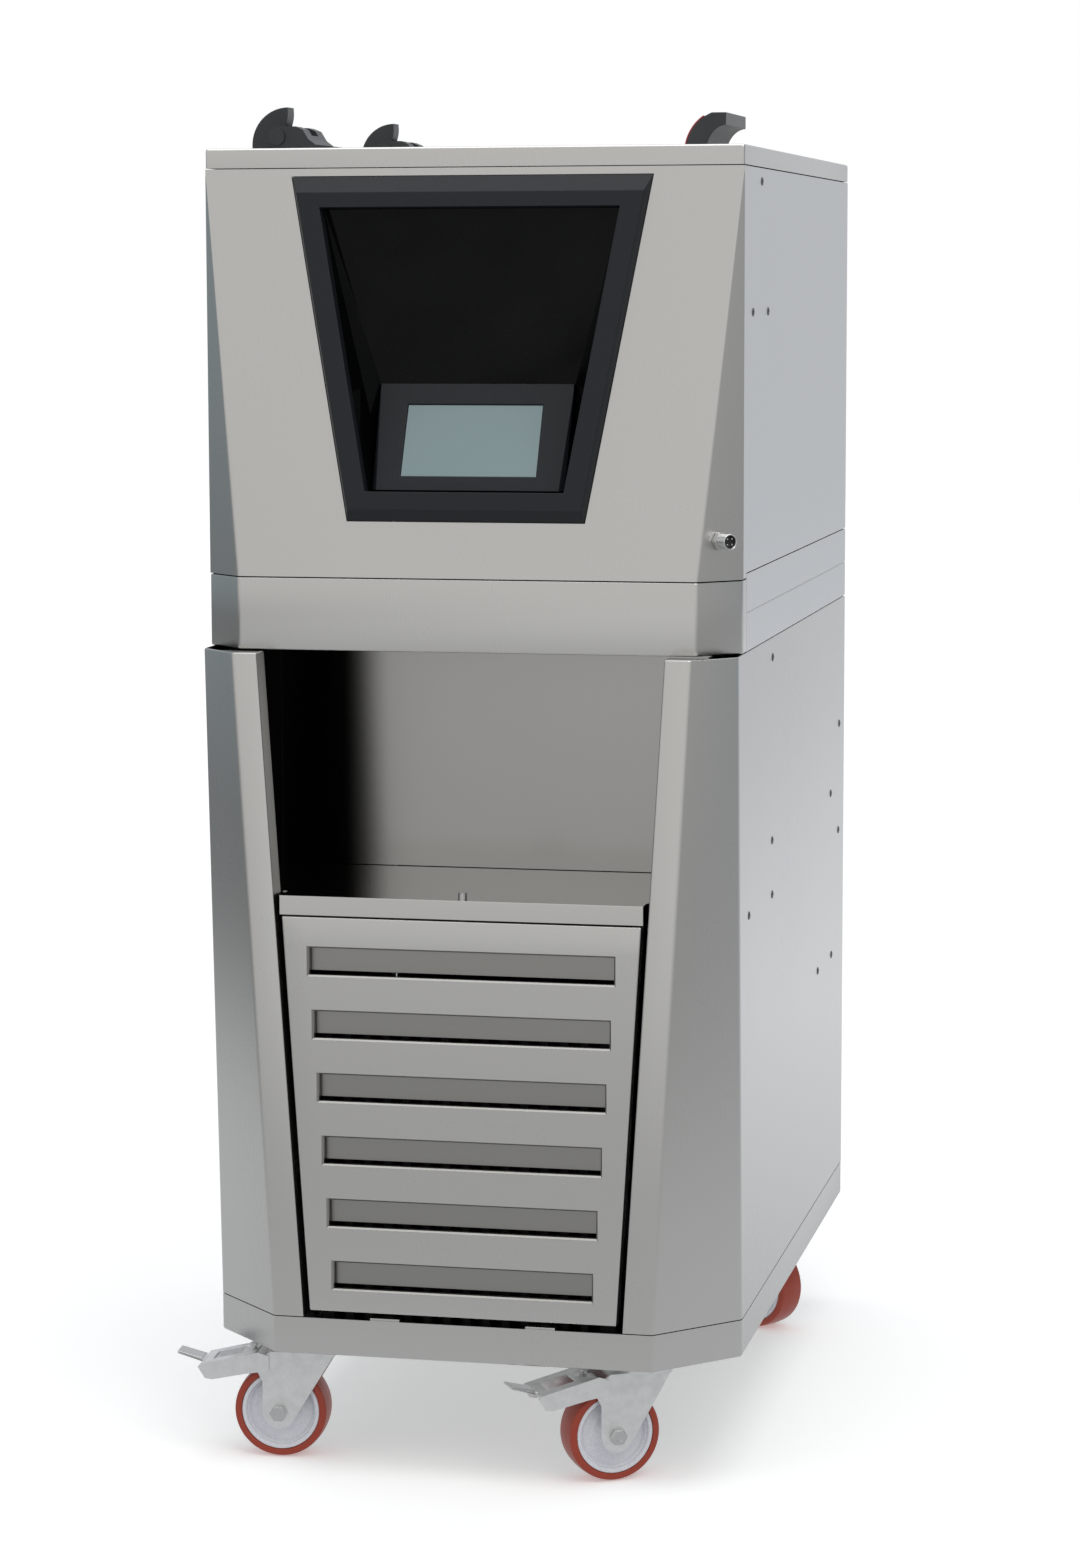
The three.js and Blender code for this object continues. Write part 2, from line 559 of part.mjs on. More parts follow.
function recessForm(grow) {
  const rim = recessOutline(grow).flatMap(([x, z]) => [
    [x, BEZEL.back + GAP - (grow > 0 ? 0 : PAST), z],
    [x, BEZEL.back + RECESS.rim + grow, z],
  ]);
  const depth = CONSOLE.backDepth + RECESS.behind + grow;
  const shoulder = [CONSOLE_HALF + grow, depth, CONSOLE.back];
  const foot = [RECESS_HALF - CONSOLE.foot + grow, depth, RECESS_LOW - grow];
  const back = [shoulder, foot].flatMap(([x, y, z]) => [[x, y, z], [-x, y, z]]);
  return hull([...rim, ...back]);
}

function recessShell() {
  return cut(recessForm(RECESS.wall), recessForm(0));
}

const FACE_TILT = Math.atan((FACE_BACK - FACE.depth) / (FACE_TOP - FACE_BOTTOM));

function consoleHousing() {
  const rear = CONSOLE.backDepth - RECESS.behind;
  const ridge = [CONSOLE_HALF - GAP, rear, CONSOLE.back - RECESS.behind];
  const outer = [RECESS_HALF - CONSOLE.lip, FACE.depth + CONSOLE.lipDepth, FACE_BOTTOM];
  const heel = [RECESS_HALF - CONSOLE.foot - GAP, rear, FACE_BOTTOM];
  const faceLow = [FACE_HALF, FACE.depth, FACE_BOTTOM];
  const faceHigh = [FACE_HALF, FACE_BACK, FACE_TOP];
  const form = hull(
    [ridge, outer, heel, faceLow, faceHigh].flatMap(([x, y, z]) => [[x, y, z], [-x, y, z]]),
  );
  const pocket = new THREE.BoxGeometry(
    2 * (SCREEN.half + GAP), 2 * (SCREEN.thick + GAP), SCREEN.height + 2 * GAP,
  );
  pocket.translate(0, 0, SCREEN.low + SCREEN.height / 2).rotateX(-FACE_TILT);
  return cut(form, solid(pocket.translate(0, FACE.depth, FACE_BOTTOM)));
}

function touchscreen() {
  return block(
    [-SCREEN.half, SCREEN.half], [0, SCREEN.thick], [SCREEN.low, SCREEN.low + SCREEN.height],
  );
}

// Sensor socket on the right corner of the upper body ---------------------------------------------
const CORNER_TURN = Math.atan2(LEAN_RUN, UPPER_CHAMFER);
const SOCKET_AT = [
  HALF - UPPER_CHAMFER * (1 - SOCKET.along), BELT_Y + LEAN_RUN * SOCKET.along, SOCKET.height,
];

function socketBore() {
  const radius = SOCKET.barrel + GAP;
  const bore = new THREE.CylinderGeometry(radius, radius, 2 * (SHEET + PAST), 32);
  return solid(bore.rotateZ(CORNER_TURN).translate(...SOCKET_AT));
}

function sensorSocket() {
  const nut = new THREE.CylinderGeometry(SOCKET.nut, SOCKET.nut, SOCKET.nutThick, 6);
  const barrel = drumY(SOCKET.barrel, [-SOCKET.reach, SOCKET.tail]);
  const cup = drumY(SOCKET.barrel - SOCKET.wall, [-SOCKET.reach - PAST, SOCKET.cup - SOCKET.reach]);
  const pins = [[1, 1], [-1, 1], [1, -1], [-1, -1]].map(([x, z]) => drumY(
    SOCKET.pin, [SOCKET.pin - SOCKET.reach, SOCKET.cup + 1 - SOCKET.reach],
    [x * SOCKET.pinAt, z * SOCKET.pinAt], 12,
  ));
  const shell = join(solid(nut.translate(0, -GAP - SOCKET.nutThick / 2, 0)), barrel);
  return join(cut(shell, cup), ...pins);
}

// Top cover, tank and lid -------------------------------------------------------------------------
const MOUTH = {
  x: grown([LID_EDGES.left, LID_EDGES.right], LID.clear),
  y: grown([-LID_EDGES.half, LID_EDGES.half], LID.clear),
};

function topCover() {
  const outside = block([-HALF, HALF], [UPPER_Y, REAR], [0, COVER_HEIGHT]);
  const inside = block(
    [-HALF + SHEET, HALF - SHEET], [UPPER_Y + SHEET, REAR - SHEET], [-PAST, COVER_HEIGHT - SHEET],
  );
  return cut(outside, inside, block(MOUTH.x, MOUTH.y, [-PAST, COVER_HEIGHT + PAST]));
}

// The tank hangs from the underside of the cover; z is counted from the top of the cover.
const TANK_TOP = -SHEET - GAP;
const TANK_FLOOR = -TANK.ledge - TANK.depth;
const BATH = {
  x: grown(MOUTH.x, -TANK.margin - LID.clear), y: grown(MOUTH.y, -TANK.margin - LID.clear),
};
const BATH_X = (BATH.x[0] + BATH.x[1]) / 2;
const DRAIN_AT = [BATH.x[0] + DRAIN.side, REAR, BELT_Z + DRAIN.up];
const INLET_AT = [HALF - INLET.side, REAR, BELT_Z + INLET.up];

function waterTank() {
  const { wall } = TANK;
  const flange = block(
    grown(MOUTH.x, TANK.flange), grown(MOUTH.y, TANK.flange), [TANK_TOP - wall, TANK_TOP],
  );
  const well = block(grown(MOUTH.x, wall), grown(MOUTH.y, wall), [-TANK.ledge - wall, TANK_TOP]);
  const bath = block(grown(BATH.x, wall), grown(BATH.y, wall), [TANK_FLOOR - wall, TANK_TOP]);
  const drain = drumZ(
    DRAIN.pipe + GAP, [TANK_FLOOR - PAST, TANK_FLOOR + PAST],
    [DRAIN_AT[0], BATH.y[1] - DRAIN.fromWall], 24,
  );
  return cut(
    join(flange, well, bath), block(MOUTH.x, MOUTH.y, [-TANK.ledge, PAST]),
    block(BATH.x, BATH.y, [TANK_FLOOR, PAST]), drain,
  );
}

// The lid's frame is its hinge axis.
const HINGE_Z = TOP_Z + HINGE.height;
const LID_TOP = LID.proud - HINGE.height;
const LID_X = [LID_EDGES.left - HINGE_X, LID_EDGES.right - HINGE_X];
const LID_Y = [-LID_EDGES.half, LID_EDGES.half];

function tankLid() {
  const low = -LID.drop - HINGE.height;
  return cut(
    block(LID_X, LID_Y, [low, LID_TOP]),
    block(grown(LID_X, -SHEET), grown(LID_Y, -SHEET), [low - PAST, LID_TOP - SHEET]),
  );
}

function lidSeal() {
  const span = [-TANK.ledge - HINGE.height + GAP, -LID.drop - HINGE.height - GAP];
  const past = [span[0] - PAST, span[1] + PAST];
  const outer = [grown(LID_X, -SEAL.inset), grown(LID_Y, -SEAL.inset)];
  const inner = outer.map((range) => grown(range, -SEAL.width));
  return cut(block(...outer, span), block(...inner, past));
}

function lidHandle() {
  const { radius, top, end, gripX, gripZ, length } = HANDLE;
  const shoulder = 180 - THREE.MathUtils.radToDeg(Math.asin(top / radius));
  const stop = 180 - THREE.MathUtils.radToDeg(Math.acos((radius - end) / gripX));
  return frontal([
    ...arc([radius, 0], [radius, radius], 180, shoulder, 12),
    [end, top],
    ...arc([radius, 0], [gripX, gripZ], stop, 180, 12),
  ], [-length / 2, length / 2]);
}

function handleTrim() {
  const inner = HANDLE.radius + GAP;
  const outer = inner + TRIM.thickness;
  const centre = [HANDLE.radius, 0];
  return frontal([
    ...arc(centre, [outer, outer], TRIM.start, TRIM.end, 12),
    ...arc(centre, [inner, inner], TRIM.end, TRIM.start, 12),
  ], grown([0, 0], HANDLE.length / 2 - TRIM.inset));
}

// Lid hinges: a fixed quarter fin with the pin, and a forked arm on the lid -----------------------
function hingeBase() {
  const foot = -HINGE.height + GAP;
  const { hollow } = FIN;
  const neck = HINGE.boss - FIN.neck;
  const fin = frontal([
    [FIN.x - FIN.radius, foot],
    ...arc([FIN.x, FIN.z], [FIN.radius, FIN.radius], 180, 90, 16),
    ...arc([hollow.x, hollow.z], [hollow.radius, hollow.radius], 8, -26, 6),
    ...arc([0, 0], [neck, neck], 75, -50, 10),
    [FIN.toe, foot],
  ], [-FIN.half, FIN.half]);
  const pin = drumY(HINGE.pin, [-HINGE.half, HINGE.half], [0, 0], 24);
  const heads = [-1, 1].map((end) => drumY(
    HINGE.head, [HINGE.half, HINGE.half + HINGE.headThick].map((y) => end * y).sort((a, b) => a - b),
    [0, 0], 24,
  ));
  return join(fin, pin, ...heads);
}

function hingeArm() {
  const low = LID_TOP + GAP;
  const reach = HINGE.half - GAP;
  const leaf = ARM.slope[ARM.slope.length - 1][0];
  const form = frontal([
    ...arc([0, 0], [HINGE.boss, HINGE.boss], 250, 90, 16),
    ...ARM.slope, [leaf, low], [ARM.heel, low],
  ], [-reach, reach]);
  const web = grown([0, 0], FIN.half + FIN.room + GAP);
  const finRoom = block([-2 * HINGE.boss, ARM.finRoom], web, [ARM.finFloor, 3 * HINGE.boss]);
  const bossRoom = drumY(HINGE.boss + ARM.bossPlay, web);
  const footRoom = block([-HINGE.boss, ARM.footRoom], web, [-HINGE.height, 0]);
  const bore = drumY(HINGE.pin + GAP, [-HINGE.half - PAST, HINGE.half + PAST], [0, 0], 24);
  return cut(form, finRoom, bossRoom, footRoom, bore);
}

// Casters: the frame is the swivel axis at floor level, with the wheel trailing along +X ----------
function casterFork() {
  const { plate, foot, head, headHeight, ear, neck } = FORK;
  const inner = FORK_INNER;
  const crown = CASTER_HEIGHT - GAP - headHeight;
  const outline = [
    [-FORK.front, crown], ...arc([WHEEL.trail, WHEEL.radius], [foot, foot], 212, 360, 10),
    [WHEEL.trail + foot, crown - neck[0]], [ear, crown - neck[1]], [ear, crown - neck[2]],
    [FORK.back, crown],
  ];
  const legs = [[-inner - plate, -inner], [inner, inner + plate]].map((span) => frontal(outline, span));
  const bridge = block(
    [-FORK.front, FORK.back], [-inner - plate, inner + plate], [crown - plate, crown],
  );
  const swivel = drumZ(head, [crown - 1, CASTER_HEIGHT - GAP]);
  const through = [-inner - plate - PAST, inner + plate + PAST];
  return cut(
    join(swivel, bridge, ...legs),
    drumY(AXLE.radius + GAP, through, [WHEEL.trail, WHEEL.radius], 16),
    drumY(PEDAL.pin + GAP, through, [PEDAL_AT[0], PEDAL_AT[2]], 12),
  );
}

function casterTread() {
  const { radius, width, edge, shoulder } = WHEEL;
  const half = width / 2;
  const inside = CORE_RADIUS + GAP;
  return turned([
    [inside, -half], [radius - edge, -half], [radius, -half + shoulder],
    [radius, half - shoulder], [radius - edge, half], [inside, half],
  ], WHEEL.sides);
}

function casterCore() {
  const bore = AXLE.radius + AXLE.play;
  const hub = FORK_INNER - GAP;
  const half = WHEEL.width / 2 - CORE.inset;
  const side = [
    [bore, hub], [CORE.boss, hub], [CORE.bossRoot, CORE.bossWeb], [CORE_RADIUS - CORE.dish, CORE.web],
    [CORE_RADIUS - CORE.rim, half], [CORE_RADIUS, half],
  ];
  return turned([...side.map(([r, y]) => [r, -y]), ...side.reverse()], WHEEL.sides);
}

function axleBolt() {
  const face = FORK_INNER + FORK.plate + GAP;
  const shank = drumY(AXLE.radius, [-face - 1, face + 1], [0, 0], 16);
  const heads = [-1, 1].map((end) => {
    const hex = new THREE.CylinderGeometry(AXLE.head, AXLE.head, AXLE.headThick, 6);
    return solid(hex.translate(0, end * (face + AXLE.headThick / 2), 0));
  });
  return join(shank, ...heads);
}

function brakePedal() {
  const { window, tongue } = PEDAL;
  const near = FORK_INNER + FORK.plate + GAP;
  const far = near + PEDAL.sheet;
  const cheeks = [[-far, -near], [near, far]].map((span) => frontal(PEDAL.cheek, span));
  const web = frontal(PEDAL.web, [-far, far]);
  const hole = block(window.x, [-window.half, window.half], window.z);
  const toe = frontal(tongue.outline, [-tongue.half, tongue.half]);
  const pin = drumY(PEDAL.pin, [-near - 1, near + 1], [0, 0], 12);
  return join(cut(join(web, ...cheeks), hole), toe, pin);
}

function caster(name, [x, y], heading, braked) {
  const wheel = { position: [WHEEL.trail, 0, WHEEL.radius] };
  const parts = [
    piece(`${name}_fork`, casterFork(), BRIGHT_STEEL),
    piece(`${name}_tread`, casterTread(), TREAD, wheel),
    piece(`${name}_core`, casterCore(), NYLON, wheel),
    piece(`${name}_axle_bolt`, axleBolt(), BRIGHT_STEEL, wheel),
  ];
  if (braked) {
    parts.push(piece(`${name}_brake_pedal`, brakePedal(), BRIGHT_STEEL, { position: PEDAL_AT }));
  }
  const holder = group([x, y, 0], ...parts);
  holder.rotation.z = THREE.MathUtils.degToRad(heading);
  return holder;
}

// Inside and rear ---------------------------------------------------------------------------------
const COIL_HALF = postEdge(0) - COIL.side;
const FAN_RING = Math.min(COIL_HALF, COIL.height / 2) - FAN.margin;
const FAN_RADIUS = FAN_RING - FAN.tip;

function condenser() {
  const { thick, height, grooves, margin, cheek, open } = COIL;
  const half = COIL_HALF;
  const pitch = (2 * (half - margin)) / grooves;
  const slots = Array.from({ length: grooves }, (_, i) => {
    const start = margin + cheek - half + i * pitch;
    return block([start, start + open * pitch], [-PAST, thick - margin], [margin, height - margin]);
  });
  return cut(block([-half, half], [0, thick], [0, height]), ...slots);
}

function fanShroud() {
  const tall = COIL.height / 2;
  const { strut, strutThick, thick, back } = FAN;
  const plate = block([-COIL_HALF, COIL_HALF], [0, thick], [-tall, tall]);
  const hole = drumY(FAN_RING, [-PAST, thick + PAST], [0, 0], 48);
  const top = thick + back + strutThick;
  const bar = block(grown([0, 0], COIL_HALF - back), [thick + back, top], [-strut, strut]);
  const ends = [[-COIL_HALF, -FAN_RING - back], [FAN_RING + back, COIL_HALF]].map(
    (span) => block(span, [thick - 1, top], [-strut, strut]),
  );
  return join(cut(plate, hole), bar, ...ends);
}

function fanRotor() {
  const { hub: hubRadius, thick, blade, chord, back } = FAN;
  const deep = thick - back;
  const hub = drumY(hubRadius, [0, deep], [0, 0], 24);
  const [root, tip] = [hubRadius - FAN.sunk, FAN_RADIUS - FAN.short];
  const blades = Array.from({ length: FAN.blades }, (_, i) => {
    const fin = new THREE.BoxGeometry(tip - root, blade, chord);
    fin.rotateX(THREE.MathUtils.degToRad(FAN.pitch)).translate((root + tip) / 2, deep / 2, 0);
    return solid(fin.rotateY((2 * Math.PI * i) / FAN.blades));
  });
  return join(hub, ...blades).intersect(drumY(FAN_RADIUS, [FAN.play, deep - FAN.play], [0, 0], 48));
}

function compressor() {
  const { radius, height, foot, footInset, footThick, belly, dome } = COMPRESSOR;
  const profile = [
    [0, COMPRESSOR.base], ...belly.map(([r, z]) => [radius - r, z]),
    ...dome.map(([r, z]) => [radius - r, height - z]), [0, height],
  ];
  const can = new THREE.LatheGeometry(profile.map(([r, z]) => new THREE.Vector2(r, z)), 32);
  const feet = block(
    [-radius - foot, radius + foot], [-radius + footInset, radius - footInset], [0, footThick],
  );
  const neck = drumZ(radius - COMPRESSOR.neck, [footThick / 2, COMPRESSOR.neckTop]);
  return join(solid(can.rotateX(Math.PI / 2)), feet, neck);
}

function circulationPump() {
  const [baseX, baseY, baseZ] = PUMP.base;
  const [saddleX, saddleY, saddleZ] = PUMP.saddle;
  const base = block([-baseX, baseX], [-baseY, baseY], [0, baseZ]);
  const volute = drumY(PUMP.volute, PUMP.voluteY, [0, PUMP.axis], 32);
  const motor = drumY(PUMP.motor, PUMP.motorY, [0, PUMP.axis], 32);
  const inlet = drumY(PUMP.inlet, PUMP.inletY, [0, PUMP.axis], 20);
  const outlet = drumZ(PUMP.outlet, PUMP.outletZ, PUMP.outletAt, 20);
  const saddle = block([-saddleX, saddleX], [-saddleY, saddleY], [baseZ - 1, saddleZ]);
  return join(base, saddle, volute, motor, inlet, outlet);
}

function heatingElement() {
  const { turn, tube, tail, steps } = HEATER;
  const half = BATH.x[1] - BATH_X - HEATER.side;
  const long = BATH.y[1] - HEATER.end;
  const route = [
    [-turn, long + tail], [-turn, long], [-half, long - turn], [-half, -long],
    [half, -long], [half, long - turn], [turn, long], [turn, long + tail],
  ];
  const path = new THREE.CatmullRomCurve3(
    route.map(([x, y]) => new THREE.Vector3(x, y, 0)), false, 'catmullrom', 0.25,
  );
  const ring = arc([0, 0], [tube, tube], 0, 300, 5).map(([u, v]) => new THREE.Vector2(u, v));
  return solid(new THREE.ExtrudeGeometry(new THREE.Shape(ring), { steps, extrudePath: path }));
}

function controlBoard() {
  const board = block([-BOARD.half, BOARD.half], [0, BOARD.thick], [0, BOARD.height]);
  const parts = BOARD.parts.map(
    ([x, z, wide, high]) => block([x, x + wide], [BOARD.thick / 2, BOARD.tall], [z, z + high]),
  );
  return join(board, ...parts);
}

function powerInlet() {
  const { half, tall, bodyHalf, bodyTall, deep, proud, rocker, socket, pins } = INLET;
  const flange = block([-half, half], [GAP, proud], [-tall, tall]);
  const body = block([-bodyHalf, bodyHalf], [-deep, proud - 1], [-bodyTall, bodyTall]);
  const rooms = [rocker, socket].map(
    (room) => block([-room.half, room.half], [-room.deep, PAST], room.z),
  );
  const blades = pins.x.map((x) => block(grown([x, x], pins.half), [-pins.root, -pins.reach], pins.z));
  return join(cut(join(flange, body), ...rooms), ...blades);
}

function powerSwitch() {
  return lateral(ROCKER.outline, [-ROCKER.half, ROCKER.half]);
}

function drainValve() {
  const neck = drumY(DRAIN.neck, [-DRAIN.long, 2], [0, 0], 24);
  const collar = drumY(DRAIN.neck + DRAIN.collar, [GAP, 2], [0, 0], 24);
  const body = drumY(DRAIN.body, [-DRAIN.long, -DRAIN.bodyEnd], [0, 0], 24);
  return join(body, neck, collar);
}

function drainKnob() {
  const { knob, knobThick, grip, gripBase } = DRAIN;
  const base = 2 + GAP;
  const disc = drumY(knob, [base, base + knobThick], [0, 0], 32);
  const flats = [[grip, knob + PAST], [-knob - PAST, -grip]].map(
    (span) => block(span, [base + gripBase, base + knobThick + PAST], [-knob - PAST, knob + PAST]),
  );
  return cut(disc, ...flats);
}

// Assembly ----------------------------------------------------------------------------------------
const cabinet = new THREE.Group();

cabinet.add(group([0, 0, CASTER_HEIGHT], piece('base_pan', basePan(), STEEL)));

cabinet.add(group(
  [0, 0, LOWER_Z],
  piece('lower_side_panel_right', lowerSidePanel(1), STEEL),
  piece('lower_side_panel_left', lowerSidePanel(-1), STEEL),
  piece('rear_panel', rearPanel(), STEEL),
  piece('bay_liner', bayLiner(), DARK_STEEL),
  piece('shelf', shelf(), STEEL),
  piece('latch_pin', latchPin(), BRIGHT_STEEL, { position: [0, FRONT + LATCH.setback, SHELF_HEIGHT] }),
));

cabinet.add(group(
  [0, FRONT + DOOR.inset, LOWER_Z + DOOR.lift],
  piece('grille_panel', grillePanel(), STEEL),
  piece('baffle_plate', bafflePlate(), DARK_STEEL),
));

cabinet.add(group(
  [0, 0, BELT_Z],
  piece('belt_front', beltFront(), STEEL),
  piece('belt_side_right', beltSide(1), STEEL),
  piece('belt_side_left', beltSide(-1), STEEL),
  piece('equipment_deck', equipmentDeck(), DARK_STEEL),
));

cabinet.add(group(
  [0, 0, UPPER_Z],
  piece('upper_front_panel', upperFrontPanel(), STEEL),
  piece('upper_side_panel_right', upperSidePanel(1), STEEL),
  piece('upper_side_panel_left', upperSidePanel(-1), STEEL),
  piece('sensor_socket', sensorSocket(), BRIGHT_STEEL, {
    position: SOCKET_AT, rotation: [0, 0, CORNER_TURN],
  }),
));

const leaningFront = group(
  [0, BELT_Y, UPPER_Z],
  piece('bezel', bezel(), BEZEL_PLASTIC),
  piece('recess_shell', recessShell(), GLOSS_BLACK),
  piece('console_housing', consoleHousing(), BEZEL_PLASTIC),
  piece('touchscreen', touchscreen(), SCREEN_GLASS, {
    position: [0, FACE.depth, FACE_BOTTOM], rotation: [-FACE_TILT, 0, 0],
  }),
);
leaningFront.rotation.x = -LEAN;
cabinet.add(leaningFront);

cabinet.add(group(
  [0, 0, TOP_Z],
  piece('top_cover', topCover(), STEEL, { position: [0, 0, -COVER_HEIGHT] }),
  piece('water_tank', waterTank(), DARK_STEEL),
  piece('heating_element', heatingElement(), BRIGHT_STEEL, {
    position: [BATH_X, 0, TANK_FLOOR + HEATER.lift],
  }),
));

cabinet.add(group(
  [HINGE_X, 0, HINGE_Z],
  piece('tank_lid', tankLid(), STEEL),
  piece('lid_seal', lidSeal(), SILICONE),
  ...['front', 'rear'].flatMap((end) => {
    const place = { position: [0, (end === 'front' ? -1 : 1) * (LID_EDGES.half - HINGE.inset), 0] };
    return [
      piece(`hinge_base_${end}`, hingeBase(), BLACK_PLASTIC, place),
      piece(`hinge_arm_${end}`, hingeArm(), BLACK_PLASTIC, place),
    ];
  }),
  group(
    [LID_X[1] - HANDLE.inset, 0, LID_TOP + GAP],
    piece('lid_handle', lidHandle(), BLACK_PLASTIC),
    piece('handle_trim', handleTrim(), RED_TRIM),
  ),
));

const CASTER_X = HALF - CASTER.side;
cabinet.add(
  caster('front_right', [CASTER_X, FRONT + CASTER.front], STEER.frontRight, true),
  caster('front_left', [-CASTER_X, FRONT + CASTER.front], STEER.frontLeft, true),
  caster('rear_right', [CASTER_X, REAR - CASTER.rear], STEER.rearRight, false),
  caster('rear_left', [-CASTER_X, REAR - CASTER.rear], STEER.rearLeft, false),
);

const PAN_DECK = CASTER_HEIGHT + PAN_FLOOR + GAP;
const COIL_Y = FRONT + COIL.front;
cabinet.add(
  piece('condenser', condenser(), ALUMINIUM, { position: [0, COIL_Y, PAN_DECK] }),
  piece('fan_shroud', fanShroud(), PAINTED_BLACK, {
    position: [0, COIL_Y + COIL.thick + GAP, PAN_DECK + COIL.height / 2],
  }),
  piece('fan_rotor', fanRotor(), PAINTED_BLACK, {
    position: [0, COIL_Y + COIL.thick + GAP, PAN_DECK + COIL.height / 2],
  }),
  piece('compressor', compressor(), PAINTED_BLACK, {
    position: [COMPRESSOR.x, COMPRESSOR.y, PAN_DECK],
  }),
  piece('circulation_pump', circulationPump(), PAINTED_BLACK, {
    position: [PUMP.x, PUMP.y, DECK_Z],
  }),
  piece('control_board', controlBoard(), BOARD_GREEN, {
    position: [0, BELT_Y + BOARD.behind, DECK_Z],
  }),
  piece('power_inlet', powerInlet(), BLACK_PLASTIC, { position: INLET_AT }),
  piece('power_switch', powerSwitch(), BLACK_PLASTIC, {
    position: [INLET_AT[0], REAR, INLET_AT[2] + INLET.rocker.at],
  }),
  piece('drain_valve', drainValve(), BRIGHT_STEEL, { position: DRAIN_AT }),
  piece('drain_knob', drainKnob(), BLACK_PLASTIC, { position: DRAIN_AT }),
);

export default cabinet;
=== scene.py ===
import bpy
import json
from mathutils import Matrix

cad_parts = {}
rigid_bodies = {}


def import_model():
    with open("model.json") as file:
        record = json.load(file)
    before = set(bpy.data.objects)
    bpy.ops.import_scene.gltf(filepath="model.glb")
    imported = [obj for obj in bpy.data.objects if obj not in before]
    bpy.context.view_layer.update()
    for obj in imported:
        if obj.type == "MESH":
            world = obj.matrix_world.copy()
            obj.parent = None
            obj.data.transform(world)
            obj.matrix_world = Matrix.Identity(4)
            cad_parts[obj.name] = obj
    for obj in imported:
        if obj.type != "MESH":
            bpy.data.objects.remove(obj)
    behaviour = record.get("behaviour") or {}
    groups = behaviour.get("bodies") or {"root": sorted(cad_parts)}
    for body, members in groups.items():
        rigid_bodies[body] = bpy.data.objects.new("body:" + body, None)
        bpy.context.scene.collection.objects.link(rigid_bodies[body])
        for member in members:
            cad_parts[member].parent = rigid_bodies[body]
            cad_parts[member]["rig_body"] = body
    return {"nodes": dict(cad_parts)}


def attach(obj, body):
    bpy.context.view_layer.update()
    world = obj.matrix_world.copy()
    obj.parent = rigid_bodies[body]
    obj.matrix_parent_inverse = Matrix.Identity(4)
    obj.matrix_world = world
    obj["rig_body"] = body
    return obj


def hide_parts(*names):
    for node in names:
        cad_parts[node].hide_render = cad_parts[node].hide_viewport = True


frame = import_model()
"""Finishes and fine detail of a floor-standing thermostatic water bath on casters. Metres, +Z up."""
import json
import logging
import math
from dataclasses import dataclass, field
from enum import Enum

import bmesh
import bpy
import numpy as np
from mathutils import Matrix, Vector

LOG = logging.getLogger("water_bath")
TAU = 2 * math.pi
ON_AXIS = 1e-5
FLOAT = "NodeSocketFloat"
VECTOR = "NodeSocketVector"
Points = np.ndarray
Solid = tuple[np.ndarray, list]
Colour = tuple[float, float, float]
Piece = bpy.types.Object
Material = bpy.types.Material
Node = bpy.types.Node
Socket = bpy.types.NodeSocket


class Grain(Enum):
    """Direction of the grinding marks on a sheet."""

    UPRIGHT = (1.0, 1.0, 0.02)
    LEVEL = (0.02, 0.02, 1.0)
    CROSSWISE = (1.0, 0.02, 1.0)


